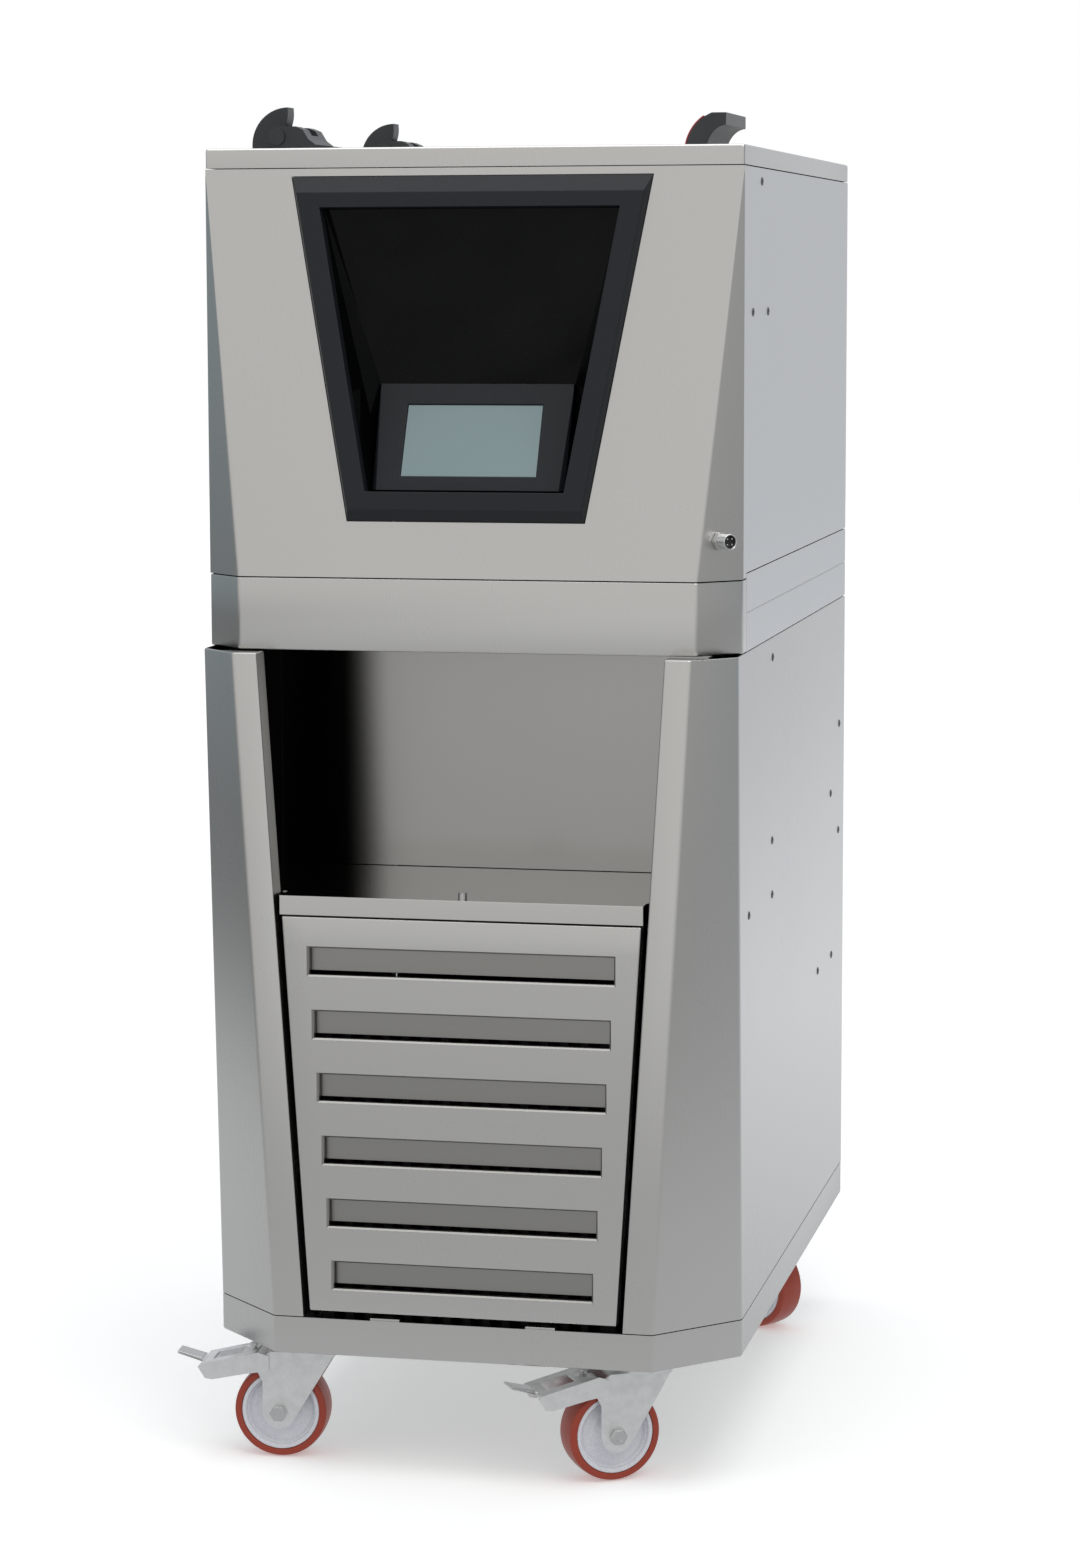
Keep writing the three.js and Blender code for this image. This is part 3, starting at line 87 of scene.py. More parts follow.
# Shader trees --------------------------------------------------------------------------------------
class Tree:
    """A node tree with short ways to add and join nodes."""

    def __init__(self, tree: bpy.types.NodeTree) -> None:
        """Takes the node tree to fill."""
        self.tree = tree

    def add(self, kind: str, inputs: dict | None = None, **settings: object) -> Node:
        """Adds a node.

        Args:
            kind: The node's type name.
            inputs: Socket name or number to a value, or to the socket that feeds it.
            settings: Properties set on the node itself.

        Returns:
            The new node.
        """
        node = self.tree.nodes.new(kind)
        for name, value in settings.items():
            setattr(node, name, value)
        for key, value in (inputs or {}).items():
            if isinstance(value, bpy.types.NodeSocket):
                self.tree.links.new(value, node.inputs[key])
            else:
                node.inputs[key].default_value = value
        return node

    def math(self, operation: str, a: object, b: object = 0.0, clamp: bool = False) -> Socket:
        """Adds a Math node on two values or sockets and returns its result."""
        return self.add("ShaderNodeMath", {0: a, 1: b}, operation=operation, use_clamp=clamp).outputs[0]

    def noise(self, vector: Socket, scale: float, detail: float = 3.0) -> Socket:
        """Adds a noise texture on a vector and returns its value."""
        return self.add("ShaderNodeTexNoise", {"Vector": vector, "Scale": scale, "Detail": detail}).outputs[0]

    def spread(self, value: Socket, low: float, high: float, to: tuple[float, float]) -> Socket:
        """Maps a value from low..high onto the range `to`, clamped, and returns it."""
        return self.add("ShaderNodeMapRange", {0: value, 1: low, 2: high, 3: to[0], 4: to[1]}).outputs[0]

    def blend(self, factor: object, a: object, b: object) -> Socket:
        """Mixes colour a towards colour b by a factor and returns the colour."""
        return self.add("ShaderNodeMix", {0: factor, 6: a, 7: b}, data_type="RGBA").outputs[2]

    def bump(self, height: Socket, strength: float, distance: float) -> Socket:
        """Adds a Bump node on a height and returns the normal."""
        inputs = {"Height": height, "Strength": strength, "Distance": distance}
        return self.add("ShaderNodeBump", inputs).outputs[0]

    def object_place(self) -> Socket:
        """Adds the Object coordinates and returns them."""
        return self.add("ShaderNodeTexCoord").outputs["Object"]

    def scaled(self, colour: Socket, factor: Socket) -> Socket:
        """Multiplies a colour by a value and returns the colour."""
        return self.add("ShaderNodeVectorMath", {0: colour, "Scale": factor}, operation="SCALE").outputs[0]

    def effect(self, group: bpy.types.NodeGroup, **amounts: object) -> Node:
        """Adds a shared effect with its amounts and returns its node."""
        return self.add("ShaderNodeGroup", amounts, node_tree=group)

    def ramp(self, value: Socket, stops: dict[float, Colour]) -> Socket:
        """Colours a value.

        Args:
            value: A value between 0 and 1.
            stops: Colours by their places, with those at 0 and 1 first.

        Returns:
            The colour.
        """
        node = self.add("ShaderNodeValToRGB", {0: value})
        elements = node.color_ramp.elements
        for position, colour in stops.items():
            stop = elements[int(position)] if position in (0, 1) else elements.new(position)
            stop.color = rgba(colour)
        return node.outputs[0]

    def feed(self, node: Node, sources: dict[str, Socket]) -> None:
        """Links each value to the node's input of that name."""
        for name, socket in sources.items():
            self.tree.links.new(socket, node.inputs[name])


def node_group(
    name: str, inputs: dict[str, tuple[str, object]], outputs: dict[str, str],
) -> tuple[Tree, bpy.types.NodeGroup]:
    """Starts a shader node group with named sockets.

    Args:
        name: The group's name.
        inputs: Socket name to its socket type and default value.
        outputs: Socket name to its socket type.

    Returns:
        The group's tree helper and the group itself.
    """
    group = bpy.data.node_groups.new(name, "ShaderNodeTree")
    for key, (kind, value) in inputs.items():
        socket = group.interface.new_socket(key, in_out="INPUT", socket_type=kind)
        if value is not None:
            socket.default_value = value
    for key, kind in outputs.items():
        group.interface.new_socket(key, in_out="OUTPUT", socket_type=kind)
    return Tree(group), group


class SharedEffects:
    """Node groups that several finishes use: grinding grain, handling marks and worn edges."""

    def __init__(self) -> None:
        """Builds the three groups once."""
        self.grain = self._grain()
        self.marks = self._marks()
        self.wear = self._wear()

    @staticmethod
    def _grain() -> bpy.types.NodeGroup:
        """Builds fine grinding marks: noise drawn out along one direction, at two widths.

        Returns:
            The group.
        """
        tree, group = node_group(
            "grinding_grain", {"Stretch": (VECTOR, (1, 1, 0.02)), "Fineness": (FLOAT, 900.0)},
            {"Fine": FLOAT, "Broad": FLOAT},
        )
        start = tree.add("NodeGroupInput")
        place = tree.object_place()
        stretch, fineness = start.outputs["Stretch"], start.outputs["Fineness"]
        drawn = tree.add("ShaderNodeVectorMath", {0: place, 1: stretch}, operation="MULTIPLY")
        fine = tree.add("ShaderNodeTexNoise", {"Vector": drawn.outputs[0], "Scale": fineness})
        broad_scale = tree.math("MULTIPLY", fineness, 0.12)
        broad = tree.add("ShaderNodeTexNoise", {"Vector": drawn.outputs[0], "Scale": broad_scale})
        tree.add("NodeGroupOutput", {"Fine": fine.outputs[0], "Broad": broad.outputs[0]})
        return group

    @staticmethod
    def _marks() -> bpy.types.NodeGroup:
        """Builds handling marks: a soft mask of cloudy smears with small specks in it.

        Returns:
            The group.
        """
        tree, group = node_group(
            "handling_marks", {"Scale": (FLOAT, 6.0), "Amount": (FLOAT, 0.5)},
            {"Mask": FLOAT, "Specks": FLOAT},
        )
        start = tree.add("NodeGroupInput")
        place = tree.object_place()
        smear = tree.spread(tree.noise(place, start.outputs["Scale"], 4.0), 0.42, 0.68, (0.0, 1.0))
        dots = tree.add("ShaderNodeTexVoronoi", {"Vector": place, "Scale": 260.0})
        specks = tree.spread(dots.outputs["Distance"], 0.05, 0.16, (1.0, 0.0))
        tree.add("NodeGroupOutput", {
            "Mask": tree.math("MULTIPLY", smear, start.outputs["Amount"]),
            "Specks": tree.math("MULTIPLY", specks, start.outputs["Amount"]),
        })
        return group

    @staticmethod
    def _wear() -> bpy.types.NodeGroup:
        """Builds worn edges: a mask of the outward corners, broken up by noise.

        Returns:
            The group.
        """
        tree, group = node_group(
            "edge_wear", {"Amount": (FLOAT, 0.5), "Breakup": (FLOAT, 90.0)}, {"Mask": FLOAT},
        )
        start = tree.add("NodeGroupInput")
        corner = tree.add("ShaderNodeNewGeometry").outputs["Pointiness"]
        outer = tree.spread(corner, 0.505, 0.58, (0.0, 1.0))
        place = tree.object_place()
        rough = tree.add("ShaderNodeTexNoise", {"Vector": place, "Scale": start.outputs["Breakup"]})
        broken = tree.spread(rough.outputs[0], 0.35, 0.62, (0.25, 1.0))
        both = tree.math("MULTIPLY", outer, broken)
        tree.add("NodeGroupOutput", {"Mask": tree.math("MULTIPLY", both, start.outputs["Amount"])})
        return group


def rgba(colour: Colour) -> tuple[float, float, float, float]:
    """Adds full opacity to a linear colour."""
    return (*colour, 1.0)


@dataclass(frozen=True)
class Steel:
    """Ground stainless sheet: fine grain, cloudy handling marks and brighter worn bends.

    The painted dark reflection field gives two X places and a factor: the sheet's colour falls to that factor
    before the first place, painting in the dark reflection of a nearby wall.
    """

    name: str
    tint: Colour = (0.63, 0.62, 0.6)
    roughness: float = 0.3
    grain: Grain = Grain.UPRIGHT
    depth: float = 0.0
    marks: float = 0.1
    fineness: float = 1300.0
    worn: float = 0.0
    painted_dark_reflection: tuple[float, float, float] | None = None

    def build(self, effects: SharedEffects) -> Material:
        """Makes the material.

        Args:
            effects: The shared node groups.

        Returns:
            The material.
        """
        material, tree, shader = blank(self.name, {"Metallic": 1.0})
        grain = tree.effect(effects.grain, Stretch=self.grain.value, Fineness=self.fineness)
        marks = tree.effect(effects.marks, Amount=self.marks)
        wear = tree.effect(effects.wear, Amount=self.worn)
        streak = tree.spread(grain.outputs["Fine"], 0.3, 0.7, (0.0, 1.0))
        darker = tuple(0.993 * c for c in self.tint)
        brighter = tuple(min(1.0, 1.3 * c) for c in self.tint)
        colour = tree.blend(streak, rgba(darker), rgba(self.tint))
        colour = tree.blend(tree.math("MULTIPLY", marks.outputs["Mask"], 0.35), colour, rgba(darker))
        colour = tree.blend(wear.outputs["Mask"], colour, rgba(brighter))
        # Painted reflection: the colour darkens towards low X to stand in for a dark wall reflected in the
        # sheet.
        if self.painted_dark_reflection:
            dark, light, factor = self.painted_dark_reflection
            place = tree.object_place()
            across = tree.add("ShaderNodeSeparateXYZ", {0: place}).outputs["X"]
            lit = tree.add("ShaderNodeMapRange", {0: across, 1: dark, 2: light, 3: factor, 4: 1.0},
                           interpolation_type="SMOOTHSTEP").outputs[0]
            colour = tree.scaled(colour, lit)
        smooth, dull = self.roughness * 0.995, self.roughness * 1.005
        rough = tree.spread(grain.outputs["Broad"], 0.3, 0.7, (smooth, dull))
        rough = tree.math("ADD", rough, tree.math("MULTIPLY", marks.outputs["Mask"], 0.07))
        tree.feed(shader, {"Base Color": colour, "Roughness": rough})
        if self.depth:
            tree.feed(shader, {"Normal": tree.bump(grain.outputs["Fine"], self.depth, 0.0004)})
        return material


@dataclass(frozen=True)
class Zinc:
    """Bright zinc plate: blotchy pale crystals over a slightly wavy pressed sheet."""

    name: str
    tint: Colour = (0.84, 0.85, 0.85)
    roughness: float = 0.34

    def build(self, effects: SharedEffects) -> Material:
        """Makes the material.

        Args:
            effects: The shared node groups.

        Returns:
            The material.
        """
        material, tree, shader = blank(self.name, {"Metallic": 0.92})
        place = tree.object_place()
        blotch = tree.noise(place, 120.0, 4.0)
        wave = tree.noise(place, 30.0, 2.0)
        wear = tree.effect(effects.wear, Amount=0.2)
        dull = tuple(0.9 * c for c in self.tint)
        colour = tree.blend(tree.spread(blotch, 0.35, 0.65, (0.0, 1.0)), rgba(dull), rgba(self.tint))
        colour = tree.blend(wear.outputs["Mask"], colour, rgba((0.9, 0.9, 0.9)))
        rough = tree.spread(blotch, 0.3, 0.7, (self.roughness * 1.3, self.roughness * 0.75))
        tree.feed(shader, {"Base Color": colour, "Roughness": rough, "Normal": tree.bump(wave, 0.12, 0.0012)})
        return material


@dataclass(frozen=True)
class Moulding:
    """Moulded plastic or rubber: spark texture, cloudy gloss and rubbed edges."""

    name: str
    tint: Colour
    roughness: float = 0.45
    texture: float = 1400.0
    depth: float = 0.12
    rubbed: float = 0.35
    specular: float = 0.5

    def build(self, effects: SharedEffects) -> Material:
        """Makes the material.

        Args:
            effects: The shared node groups.

        Returns:
            The material.
        """
        material, tree, shader = blank(self.name, {"Specular IOR Level": self.specular})
        place = tree.object_place()
        spark = tree.noise(place, self.texture, 2.0)
        marks = tree.effect(effects.marks, Scale=18.0, Amount=0.15)
        wear = tree.effect(effects.wear, Amount=self.rubbed)
        deep = tuple(0.82 * c for c in self.tint)
        pale = tuple(min(1.0, 1.5 * c + 0.03) for c in self.tint)
        colour = tree.blend(tree.spread(spark, 0.3, 0.7, (0.0, 1.0)), rgba(deep), rgba(self.tint))
        colour = tree.blend(wear.outputs["Mask"], colour, rgba(pale))
        rough = tree.math("ADD", tree.math("MULTIPLY", marks.outputs["Mask"], 0.1), self.roughness)
        rough = tree.math("SUBTRACT", rough, tree.math("MULTIPLY", wear.outputs["Mask"], 0.08))
        normal = tree.bump(spark, self.depth, 0.0003)
        tree.feed(shader, {"Base Color": colour, "Roughness": rough, "Normal": normal})
        return material


@dataclass(frozen=True)
class Panel:
    """Smooth glossy panel, such as a display or a black fascia, with faint wipe marks and dust."""

    name: str
    tint: Colour
    roughness: float = 0.08
    glow: float = 0.0
    specular: float = 0.5

    def build(self, effects: SharedEffects) -> Material:
        """Makes the material.

        Args:
            effects: The shared node groups.

        Returns:
            The material.
        """
        constants = {"Emission Strength": self.glow, "Specular IOR Level": self.specular}
        material, tree, shader = blank(self.name, constants)
        marks = tree.effect(effects.marks, Scale=9.0, Amount=0.5)
        dusty = tuple(min(1.0, 1.08 * c + 0.02) for c in self.tint)
        colour = tree.blend(marks.outputs["Specks"], rgba(self.tint), rgba(dusty))
        colour = tree.blend(tree.math("MULTIPLY", marks.outputs["Mask"], 0.3), colour, rgba(dusty))
        rough = tree.math("ADD", tree.math("MULTIPLY", marks.outputs["Mask"], 0.1), self.roughness)
        tree.feed(shader, {"Base Color": colour, "Emission Color": colour, "Roughness": rough})
        return material


def blank(name: str, constants: dict[str, float]) -> tuple[Material, Tree, Node]:
    """Starts a material.

    Args:
        name: The material's name.
        constants: Principled socket names and the values that are the same all over.

    Returns:
        The material, its tree helper and its Principled node.
    """
    material = bpy.data.materials.new(name)
    material.use_nodes = True
    shader = material.node_tree.nodes["Principled BSDF"]
    for key, value in constants.items():
        shader.inputs[key].default_value = value
    return material, Tree(material.node_tree), shader


class Finishes:
    """Every finish on the object, built once."""

    def __init__(self) -> None:
        """Builds each material."""
        effects = SharedEffects()
        looks = (
            Steel("front_sheet", tint=(0.63, 0.625, 0.61), roughness=0.27),
            Steel("side_sheet", tint=(0.63, 0.64, 0.65), roughness=0.3),
            Steel("liner_sheet", tint=(0.5, 0.495, 0.485), roughness=0.22),
            # The bay liner is painted near black at its left: a painted dark reflection of the bay's left
            # wall.
            Steel("bay_sheet", tint=(0.43, 0.425, 0.415), roughness=0.24, painted_dark_reflection=(-0.145, -0.1, 0.03)),
            # The baffle's darker tint is painted shade: the plate sits in shadow behind the air slots.
            Steel("baffle_sheet_painted_shade", tint=(0.36, 0.355, 0.34), roughness=0.3, depth=0.12, marks=0.5),
            Steel("shelf_sheet", tint=(0.66, 0.65, 0.63), roughness=0.13, grain=Grain.LEVEL),
            Steel("lid_sheet", tint=(0.62, 0.61, 0.59), roughness=0.27, grain=Grain.CROSSWISE),
            Steel("turned_steel", tint=(0.6, 0.6, 0.6), roughness=0.2, depth=0.03, marks=0.3, worn=0.2),
            Steel("dark_screw", tint=(0.13, 0.13, 0.135), roughness=0.3, depth=0.08, marks=0.3),
            # The fins' near-black tint is painted shade: bare aluminium fins seen only in the shadow behind
            # the grille slits.
            Steel("fins_in_painted_shade", tint=(0.05, 0.05, 0.052), roughness=0.55, marks=0.9),
            Zinc("zinc_plate"),
            Moulding("bezel_plastic", (0.015, 0.017, 0.0215), 0.38, depth=0.03, rubbed=0.06, specular=0.28),
            Moulding("hinge_nylon", (0.024, 0.027, 0.032), 0.36, rubbed=0.25),
            Moulding("handle_nylon", (0.026, 0.028, 0.032), 0.34, rubbed=0.25),
            Moulding("red_insert", (0.42, 0.02, 0.03), 0.38, rubbed=0.2),
            Moulding("grey_silicone", (0.1, 0.11, 0.115), 0.6),
            Moulding("black_enamel", (0.012, 0.012, 0.014), 0.35, texture=500.0),
            Moulding("circuit_green", (0.02, 0.12, 0.05), 0.4),
            Moulding("tread_urethane", (0.4, 0.052, 0.024), 0.34, texture=700.0, depth=0.06, rubbed=0.25),
            Moulding("core_nylon", (0.86, 0.87, 0.93), 0.4, texture=900.0, depth=0.05, rubbed=0.1),
            Moulding("pin_insert", (0.012, 0.012, 0.013), 0.3),
            Panel("black_fascia", (0.0016, 0.0018, 0.0022), 0.06, specular=0.1),
            Moulding(
                "filter_felt", (0.02, 0.02, 0.021), 0.8, texture=900.0, depth=0.4, rubbed=0.0, specular=0.1,
            ),
            Panel("display_glass", (0.2, 0.27, 0.285), 0.1, glow=0.16),
        )
        self.by_name = {look.name: look.build(effects) for look in looks}

    def __getitem__(self, name: str) -> Material:
        """Gives a material by its name."""
        return self.by_name[name]


# Surfaces -------------------------------------------------------------------------------------------
def welded(name: str, source: Solid | bpy.types.Mesh, reach: float = 1e-6, outwards: bool = True) -> Piece:
    """Puts a smooth piece in the scene with its touching vertices merged.

    Args:
        name: The piece's name.
        source: Vertices and faces, or a finished mesh.
        reach: Vertices nearer than this are merged.
        outwards: Whether the faces are turned outwards.

    Returns:
        The new object, at the origin.
    """
    mesh = bpy.data.meshes.new(name)
    if isinstance(source, tuple):
        mesh.from_pydata(np.asarray(source[0], float).tolist(), [], source[1])
        source = mesh
    shape = bmesh.new()
    shape.from_mesh(source)
    bmesh.ops.remove_doubles(shape, verts=shape.verts, dist=reach)
    if outwards:
        bmesh.ops.recalc_face_normals(shape, faces=shape.faces)
    shape.to_mesh(mesh)
    shape.free()
    mesh.shade_smooth()
    piece = bpy.data.objects.new(name, mesh)
    bpy.context.scene.collection.objects.link(piece)
    return piece


def flatten(piece: Piece) -> bpy.types.Modifier:
    """Shades a piece's flat faces flat and returns the modifier."""
    level = piece.modifiers.new("flatten", "WEIGHTED_NORMAL")
    level.weight = 100
    return level


def soften(piece: Piece, width: float, degrees: float, segments: int = 2) -> bpy.types.Modifier:
    """Rounds a piece's sharp edges.

    Args:
        piece: The piece.
        width: Width of each rounded edge.
        degrees: Edges sharper than this are rounded.
        segments: Steps across each edge.

    Returns:
        The modifier.
    """
    ease = piece.modifiers.new("ease", "BEVEL")
    ease.width = width
    ease.segments = segments
    ease.limit_method = "ANGLE"
    ease.angle_limit = math.radians(degrees)
    return ease


def mesh_object(name: str, vertices: Points, faces: list, smooth: float = 35.0) -> Piece:
    """Makes a closed piece from vertices and faces.

    Args:
        name: The piece's name.
        vertices: Places, one row each.
        faces: Vertex numbers of each face.
        smooth: Edges sharper than this many degrees stay sharp.

    Returns:
        The new object, at the origin.
    """
    piece = welded(name, (vertices, faces))
    piece.data.set_sharp_from_angle(angle=math.radians(smooth))
    flatten(piece).keep_sharp = True
    return piece


def grid_faces(rows: int, columns: int, wrap_rows: bool, wrap_columns: bool, first: int = 0) -> list:
    """Quads of a grid whose vertices are numbered row by row.

    Args:
        rows: How many rows the grid has.
        columns: How many vertices each row has.
        wrap_rows: Whether the last row joins the first.
        wrap_columns: Whether each row closes on itself.
        first: The number of the grid's first vertex.

    Returns:
        A list of faces.
    """
    downs, acrosses = rows - (not wrap_rows), columns - (not wrap_columns)
    i, j = np.meshgrid(np.arange(downs), np.arange(acrosses), indexing="ij")
    down, along = (i + 1) % rows, (j + 1) % columns
    quads = np.stack([i * columns + j, i * columns + along, down * columns + along, down * columns + j], -1)
    return (quads.reshape(-1, 4) + first).tolist()


def turned(profile: Points, segments: int = 64) -> Solid:
    """A closed profile turned about the Y axis: x = r cos a, z = r sin a, y = h.

    Args:
        profile: Rows of radius and height, in order round the closed section.
        segments: Steps round the axis.

    Returns:
        Vertices and faces.
    """
    angle = np.linspace(0, TAU, segments, endpoint=False)
    r, h = profile[:, 0], profile[:, 1]
    around = np.stack([np.outer(np.cos(angle), r), np.tile(h, (segments, 1)), np.outer(np.sin(angle), r)], -1)
    return around.reshape(-1, 3), grid_faces(segments, len(profile), True, True)


def rounded(corners: list[tuple[float, float, float]], steps: int = 5) -> Points:
    """A closed outline with each corner rounded by a curve through its two tangent points.

    Each corner P with radius r becomes P + (1-t)^2 r u + t^2 r v for t from 0 to 1, where u and v point
    towards the neighbours.

    Args:
        corners: Rows of two coordinates and a corner radius.
        steps: Steps along each corner.

    Returns:
        The outline's points.
    """
    data = np.array(corners, float)
    place, radius = data[:, :2], data[:, 2]
    back, ahead = np.roll(place, 1, 0) - place, np.roll(place, -1, 0) - place
    lengths = np.minimum(np.linalg.norm(back, axis=1), np.linalg.norm(ahead, axis=1))
    reach = np.minimum(radius, 0.48 * lengths)[:, None, None]
    back = (back / np.linalg.norm(back, axis=1)[:, None])[:, None, :]
    ahead = (ahead / np.linalg.norm(ahead, axis=1)[:, None])[:, None, :]
    t = np.linspace(0, 1, steps)[None, :, None]
    return (place[:, None, :] + reach * ((1 - t) ** 2 * back + t**2 * ahead)).reshape(-1, 2)


def hexagon(radius: float, edge: float, steps: int) -> Points:
    """A regular hexagon with its corners rounded over `edge` in some steps."""
    angles = np.arange(6) * TAU / 6
    return rounded([(radius * math.cos(a), radius * math.sin(a), edge) for a in angles], steps)


def rod(radius: float, low: float, high: float, edges: tuple[float, float]) -> Points:
    """Section of a solid rod about Y, from `low` to `high`, its two rims rounded over `edges`."""
    low_edge, high_edge = edges
    corners = [(ON_AXIS, low, 0), (radius, low, low_edge), (radius, high, high_edge), (ON_AXIS, high, 0)]
    return rounded(corners, 4)


def offset(outline: Points, by: float) -> Points:
    """An outline moved inwards along its own normals.

    Args:
        outline: A closed outline.
        by: How far every point moves.

    Returns:
        The new outline.
    """
    edge = np.roll(outline, -1, 0) - np.roll(outline, 1, 0)
    length = np.maximum(np.linalg.norm(edge, axis=1, keepdims=True), 1e-12)
    normal = np.stack([-edge[:, 1], edge[:, 0]], -1) / length
    area = np.sum(outline[:, 0] * np.roll(outline[:, 1], -1) - np.roll(outline[:, 0], -1) * outline[:, 1])
    return outline + normal * by * np.sign(area)


def drawn(outline: Points, inward: Points, along: Points) -> Points:
    """An outline in X and Z repeated along Y.

    Args:
        outline: Points in X and Z.
        inward: How far the outline is drawn in at each step.
        along: The Y place of each step.

    Returns:
        The vertices, step by step.
    """
    rings = np.stack([offset(outline, by) for by in inward])
    depth = np.broadcast_to(along[:, None, None], (*rings.shape[:2], 1))
    return np.concatenate([rings[..., :1], depth, rings[..., 1:]], -1).reshape(-1, 3)


def slab(outline: Points, low: float, high: float, edge: float, steps: int = 4) -> Solid:
    """An outline in X and Z carried along Y with its two rims rounded.

    The rim is a quarter circle: at angle a the outline is drawn in by edge (1 - cos a) and stands at
    edge (1 - sin a) from the end face.

    Args:
        outline: Points in X and Z.
        low: Where the piece starts along Y.
        high: Where it ends.
        edge: Radius of the rims.
        steps: Steps round each rim.

    Returns:
        Vertices and faces, with flat ends.
    """
    a = np.linspace(math.pi / 2, 0, steps)
    inward = np.concatenate([edge * (1 - np.cos(a)), edge * (1 - np.cos(a[::-1]))])
    along = np.concatenate([low + edge * (1 - np.sin(a)), high - edge * (1 - np.sin(a[::-1]))])
    count = len(outline)
    faces = grid_faces(len(inward), count, False, True)
    faces += [list(range(count)), list(range((len(inward) - 1) * count, len(inward) * count))]
    return drawn(outline, inward, along), faces


def joined(parts: list[Solid]) -> Solid:
    """Several vertex and face sets as one.

    Args:
        parts: The sets.

    Returns:
        One set of all their vertices and faces.
    """
    starts = np.cumsum([0] + [len(vertices) for vertices, _ in parts[:-1]])
    faces = [[int(n + start) for n in face] for start, (_, group) in zip(starts, parts) for face in group]
    return np.concatenate([vertices for vertices, _ in parts]), faces


def placed(part: Solid, matrix: Matrix) -> Solid:
    """A vertex and face set moved and turned by a matrix."""
    m = np.array(matrix)
    return part[0] @ m[:3, :3].T + m[:3, 3], part[1]


def bent(corners: list[tuple[float, float, float]], steps: int = 6) -> Points:
    """An open path whose inner corners are rounded as `rounded` does, with its two ends kept.

    Args:
        corners: Rows of two coordinates and the length of each bend on either side of its corner.
        steps: Points along each bend.

    Returns:
        The path's points.
    """
    data = np.array(corners, float)
    place, radius = data[:, :2], data[1:-1, 2]
    back, ahead = place[:-2] - place[1:-1], place[2:] - place[1:-1]
    near, far = np.linalg.norm(back, axis=1), np.linalg.norm(ahead, axis=1)
    reach = np.minimum(radius, 0.48 * np.minimum(near, far))[:, None, None]
    back = (back / np.maximum(near, 1e-9)[:, None])[:, None, :]
    ahead = (ahead / np.maximum(far, 1e-9)[:, None])[:, None, :]
    t = np.linspace(0, 1, steps)[None, :, None]
    middle = (place[1:-1, None, :] + reach * ((1 - t) ** 2 * back + t**2 * ahead)).reshape(-1, 2)
    return np.concatenate([place[:1], middle, place[-1:]])


def raised(path: Points, height: float) -> Points:
    """A path in X and Y as points in space at one height."""
    return np.concatenate([path, np.full((len(path), 1), height)], 1)


def curled(path: Points, low: float, high: float, curl: float, inward: int) -> Points:
    """Rows that carry an open path upwards with both edges turned in by a quarter round.

    At angle a the path is moved along its own normal by curl (1 - cos a) and stands curl (1 - sin a)
    from the end.

    Args:
        path: An open path in X and Y.
        low: Height of the lowest row.
        high: Height of the highest row.
        curl: Radius of the turned-in edges.
        inward: 1 or -1, the side of the path that the edges turn to.

    Returns:
        The rows.
    """
    along = np.gradient(path, axis=0)
    along /= np.maximum(np.linalg.norm(along, axis=1), 1e-9)[:, None]
    normal = inward * np.stack([-along[:, 1], along[:, 0]], 1)
    a = np.linspace(math.pi / 2, 0, 5)
    by, rise = curl * (1 - np.cos(a)), curl * (1 - np.sin(a))
    rows = [raised(path + normal * b, low + r) for b, r in zip(by, rise)]
    rows += [raised(path + normal * b, high - r) for b, r in zip(by[::-1], rise[::-1])]
    return np.stack(rows)


def sheet(
    name: str, rows: Points, inside: tuple[float, float, float], thickness: float, *,
    closed: bool = False, holes: Points | None = None, cap: int | None = None, edge: float = 0.0004,
) -> Piece:
    """A bent sheet: a grid of points that gets its thickness towards the inside.

    Args:
        name: The piece's name.
        rows: Grid of points, rows by columns by three.
        inside: A point on the side that the thickness grows towards.
        thickness: The sheet's thickness.
        closed: Whether each row closes on itself.
        holes: Mask of the grid's cells that are left open.
        cap: The row that a flat face closes, if any.
        edge: Radius of the sheet's cut edges.

    Returns:
        The new piece.
    """
    count, columns = rows.shape[:2]
    quads = np.array(grid_faces(count, columns, False, closed))
    if holes is not None:
        quads = quads[~holes.ravel()]
    faces = quads.tolist()
    if cap is not None:
        start = (cap % count) * columns
        faces.append(list(range(start, start + columns)))
    piece = welded(name, (rows.reshape(-1, 3), faces), 2e-6)
    mesh = piece.data
    normals, centres = np.zeros(3 * len(mesh.polygons)), np.zeros(3 * len(mesh.polygons))
    areas = np.zeros(len(mesh.polygons))
    mesh.polygons.foreach_get("normal", normals)
    mesh.polygons.foreach_get("center", centres)
    mesh.polygons.foreach_get("area", areas)
    away = (normals.reshape(-1, 3) * (centres.reshape(-1, 3) - inside)).sum(1) * areas
    if away.sum() < 0:
        mesh.flip_normals()
    wall = piece.modifiers.new("wall", "SOLIDIFY")
    wall.thickness = thickness
    wall.offset = -1.0
    wall.use_even_offset = True
    soften(piece, edge, 40).harden_normals = True
    return piece


def body_of(node: str) -> str:
    """The name of the body a node belongs to."""
    return frame["nodes"][node]["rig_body"]


def dress(piece: Piece, material: Material, body: str, slot: str, *nodes: str) -> Piece:
    """Gives a piece its finish and body, and hides the nodes it stands for.

    Args:
        piece: The finished piece.
        material: Its material.
        body: The body it rides on.
        slot: Not used.
        nodes: Nodes that it stands for.

    Returns:
        The same piece.
    """
    piece.data.materials.clear()
    piece.data.materials.append(material)
    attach(piece, body)
    if nodes:
        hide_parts(*nodes)
    LOG.info("%s rides on %s, %s faces", piece.name, body, len(piece.data.polygons))
    return piece


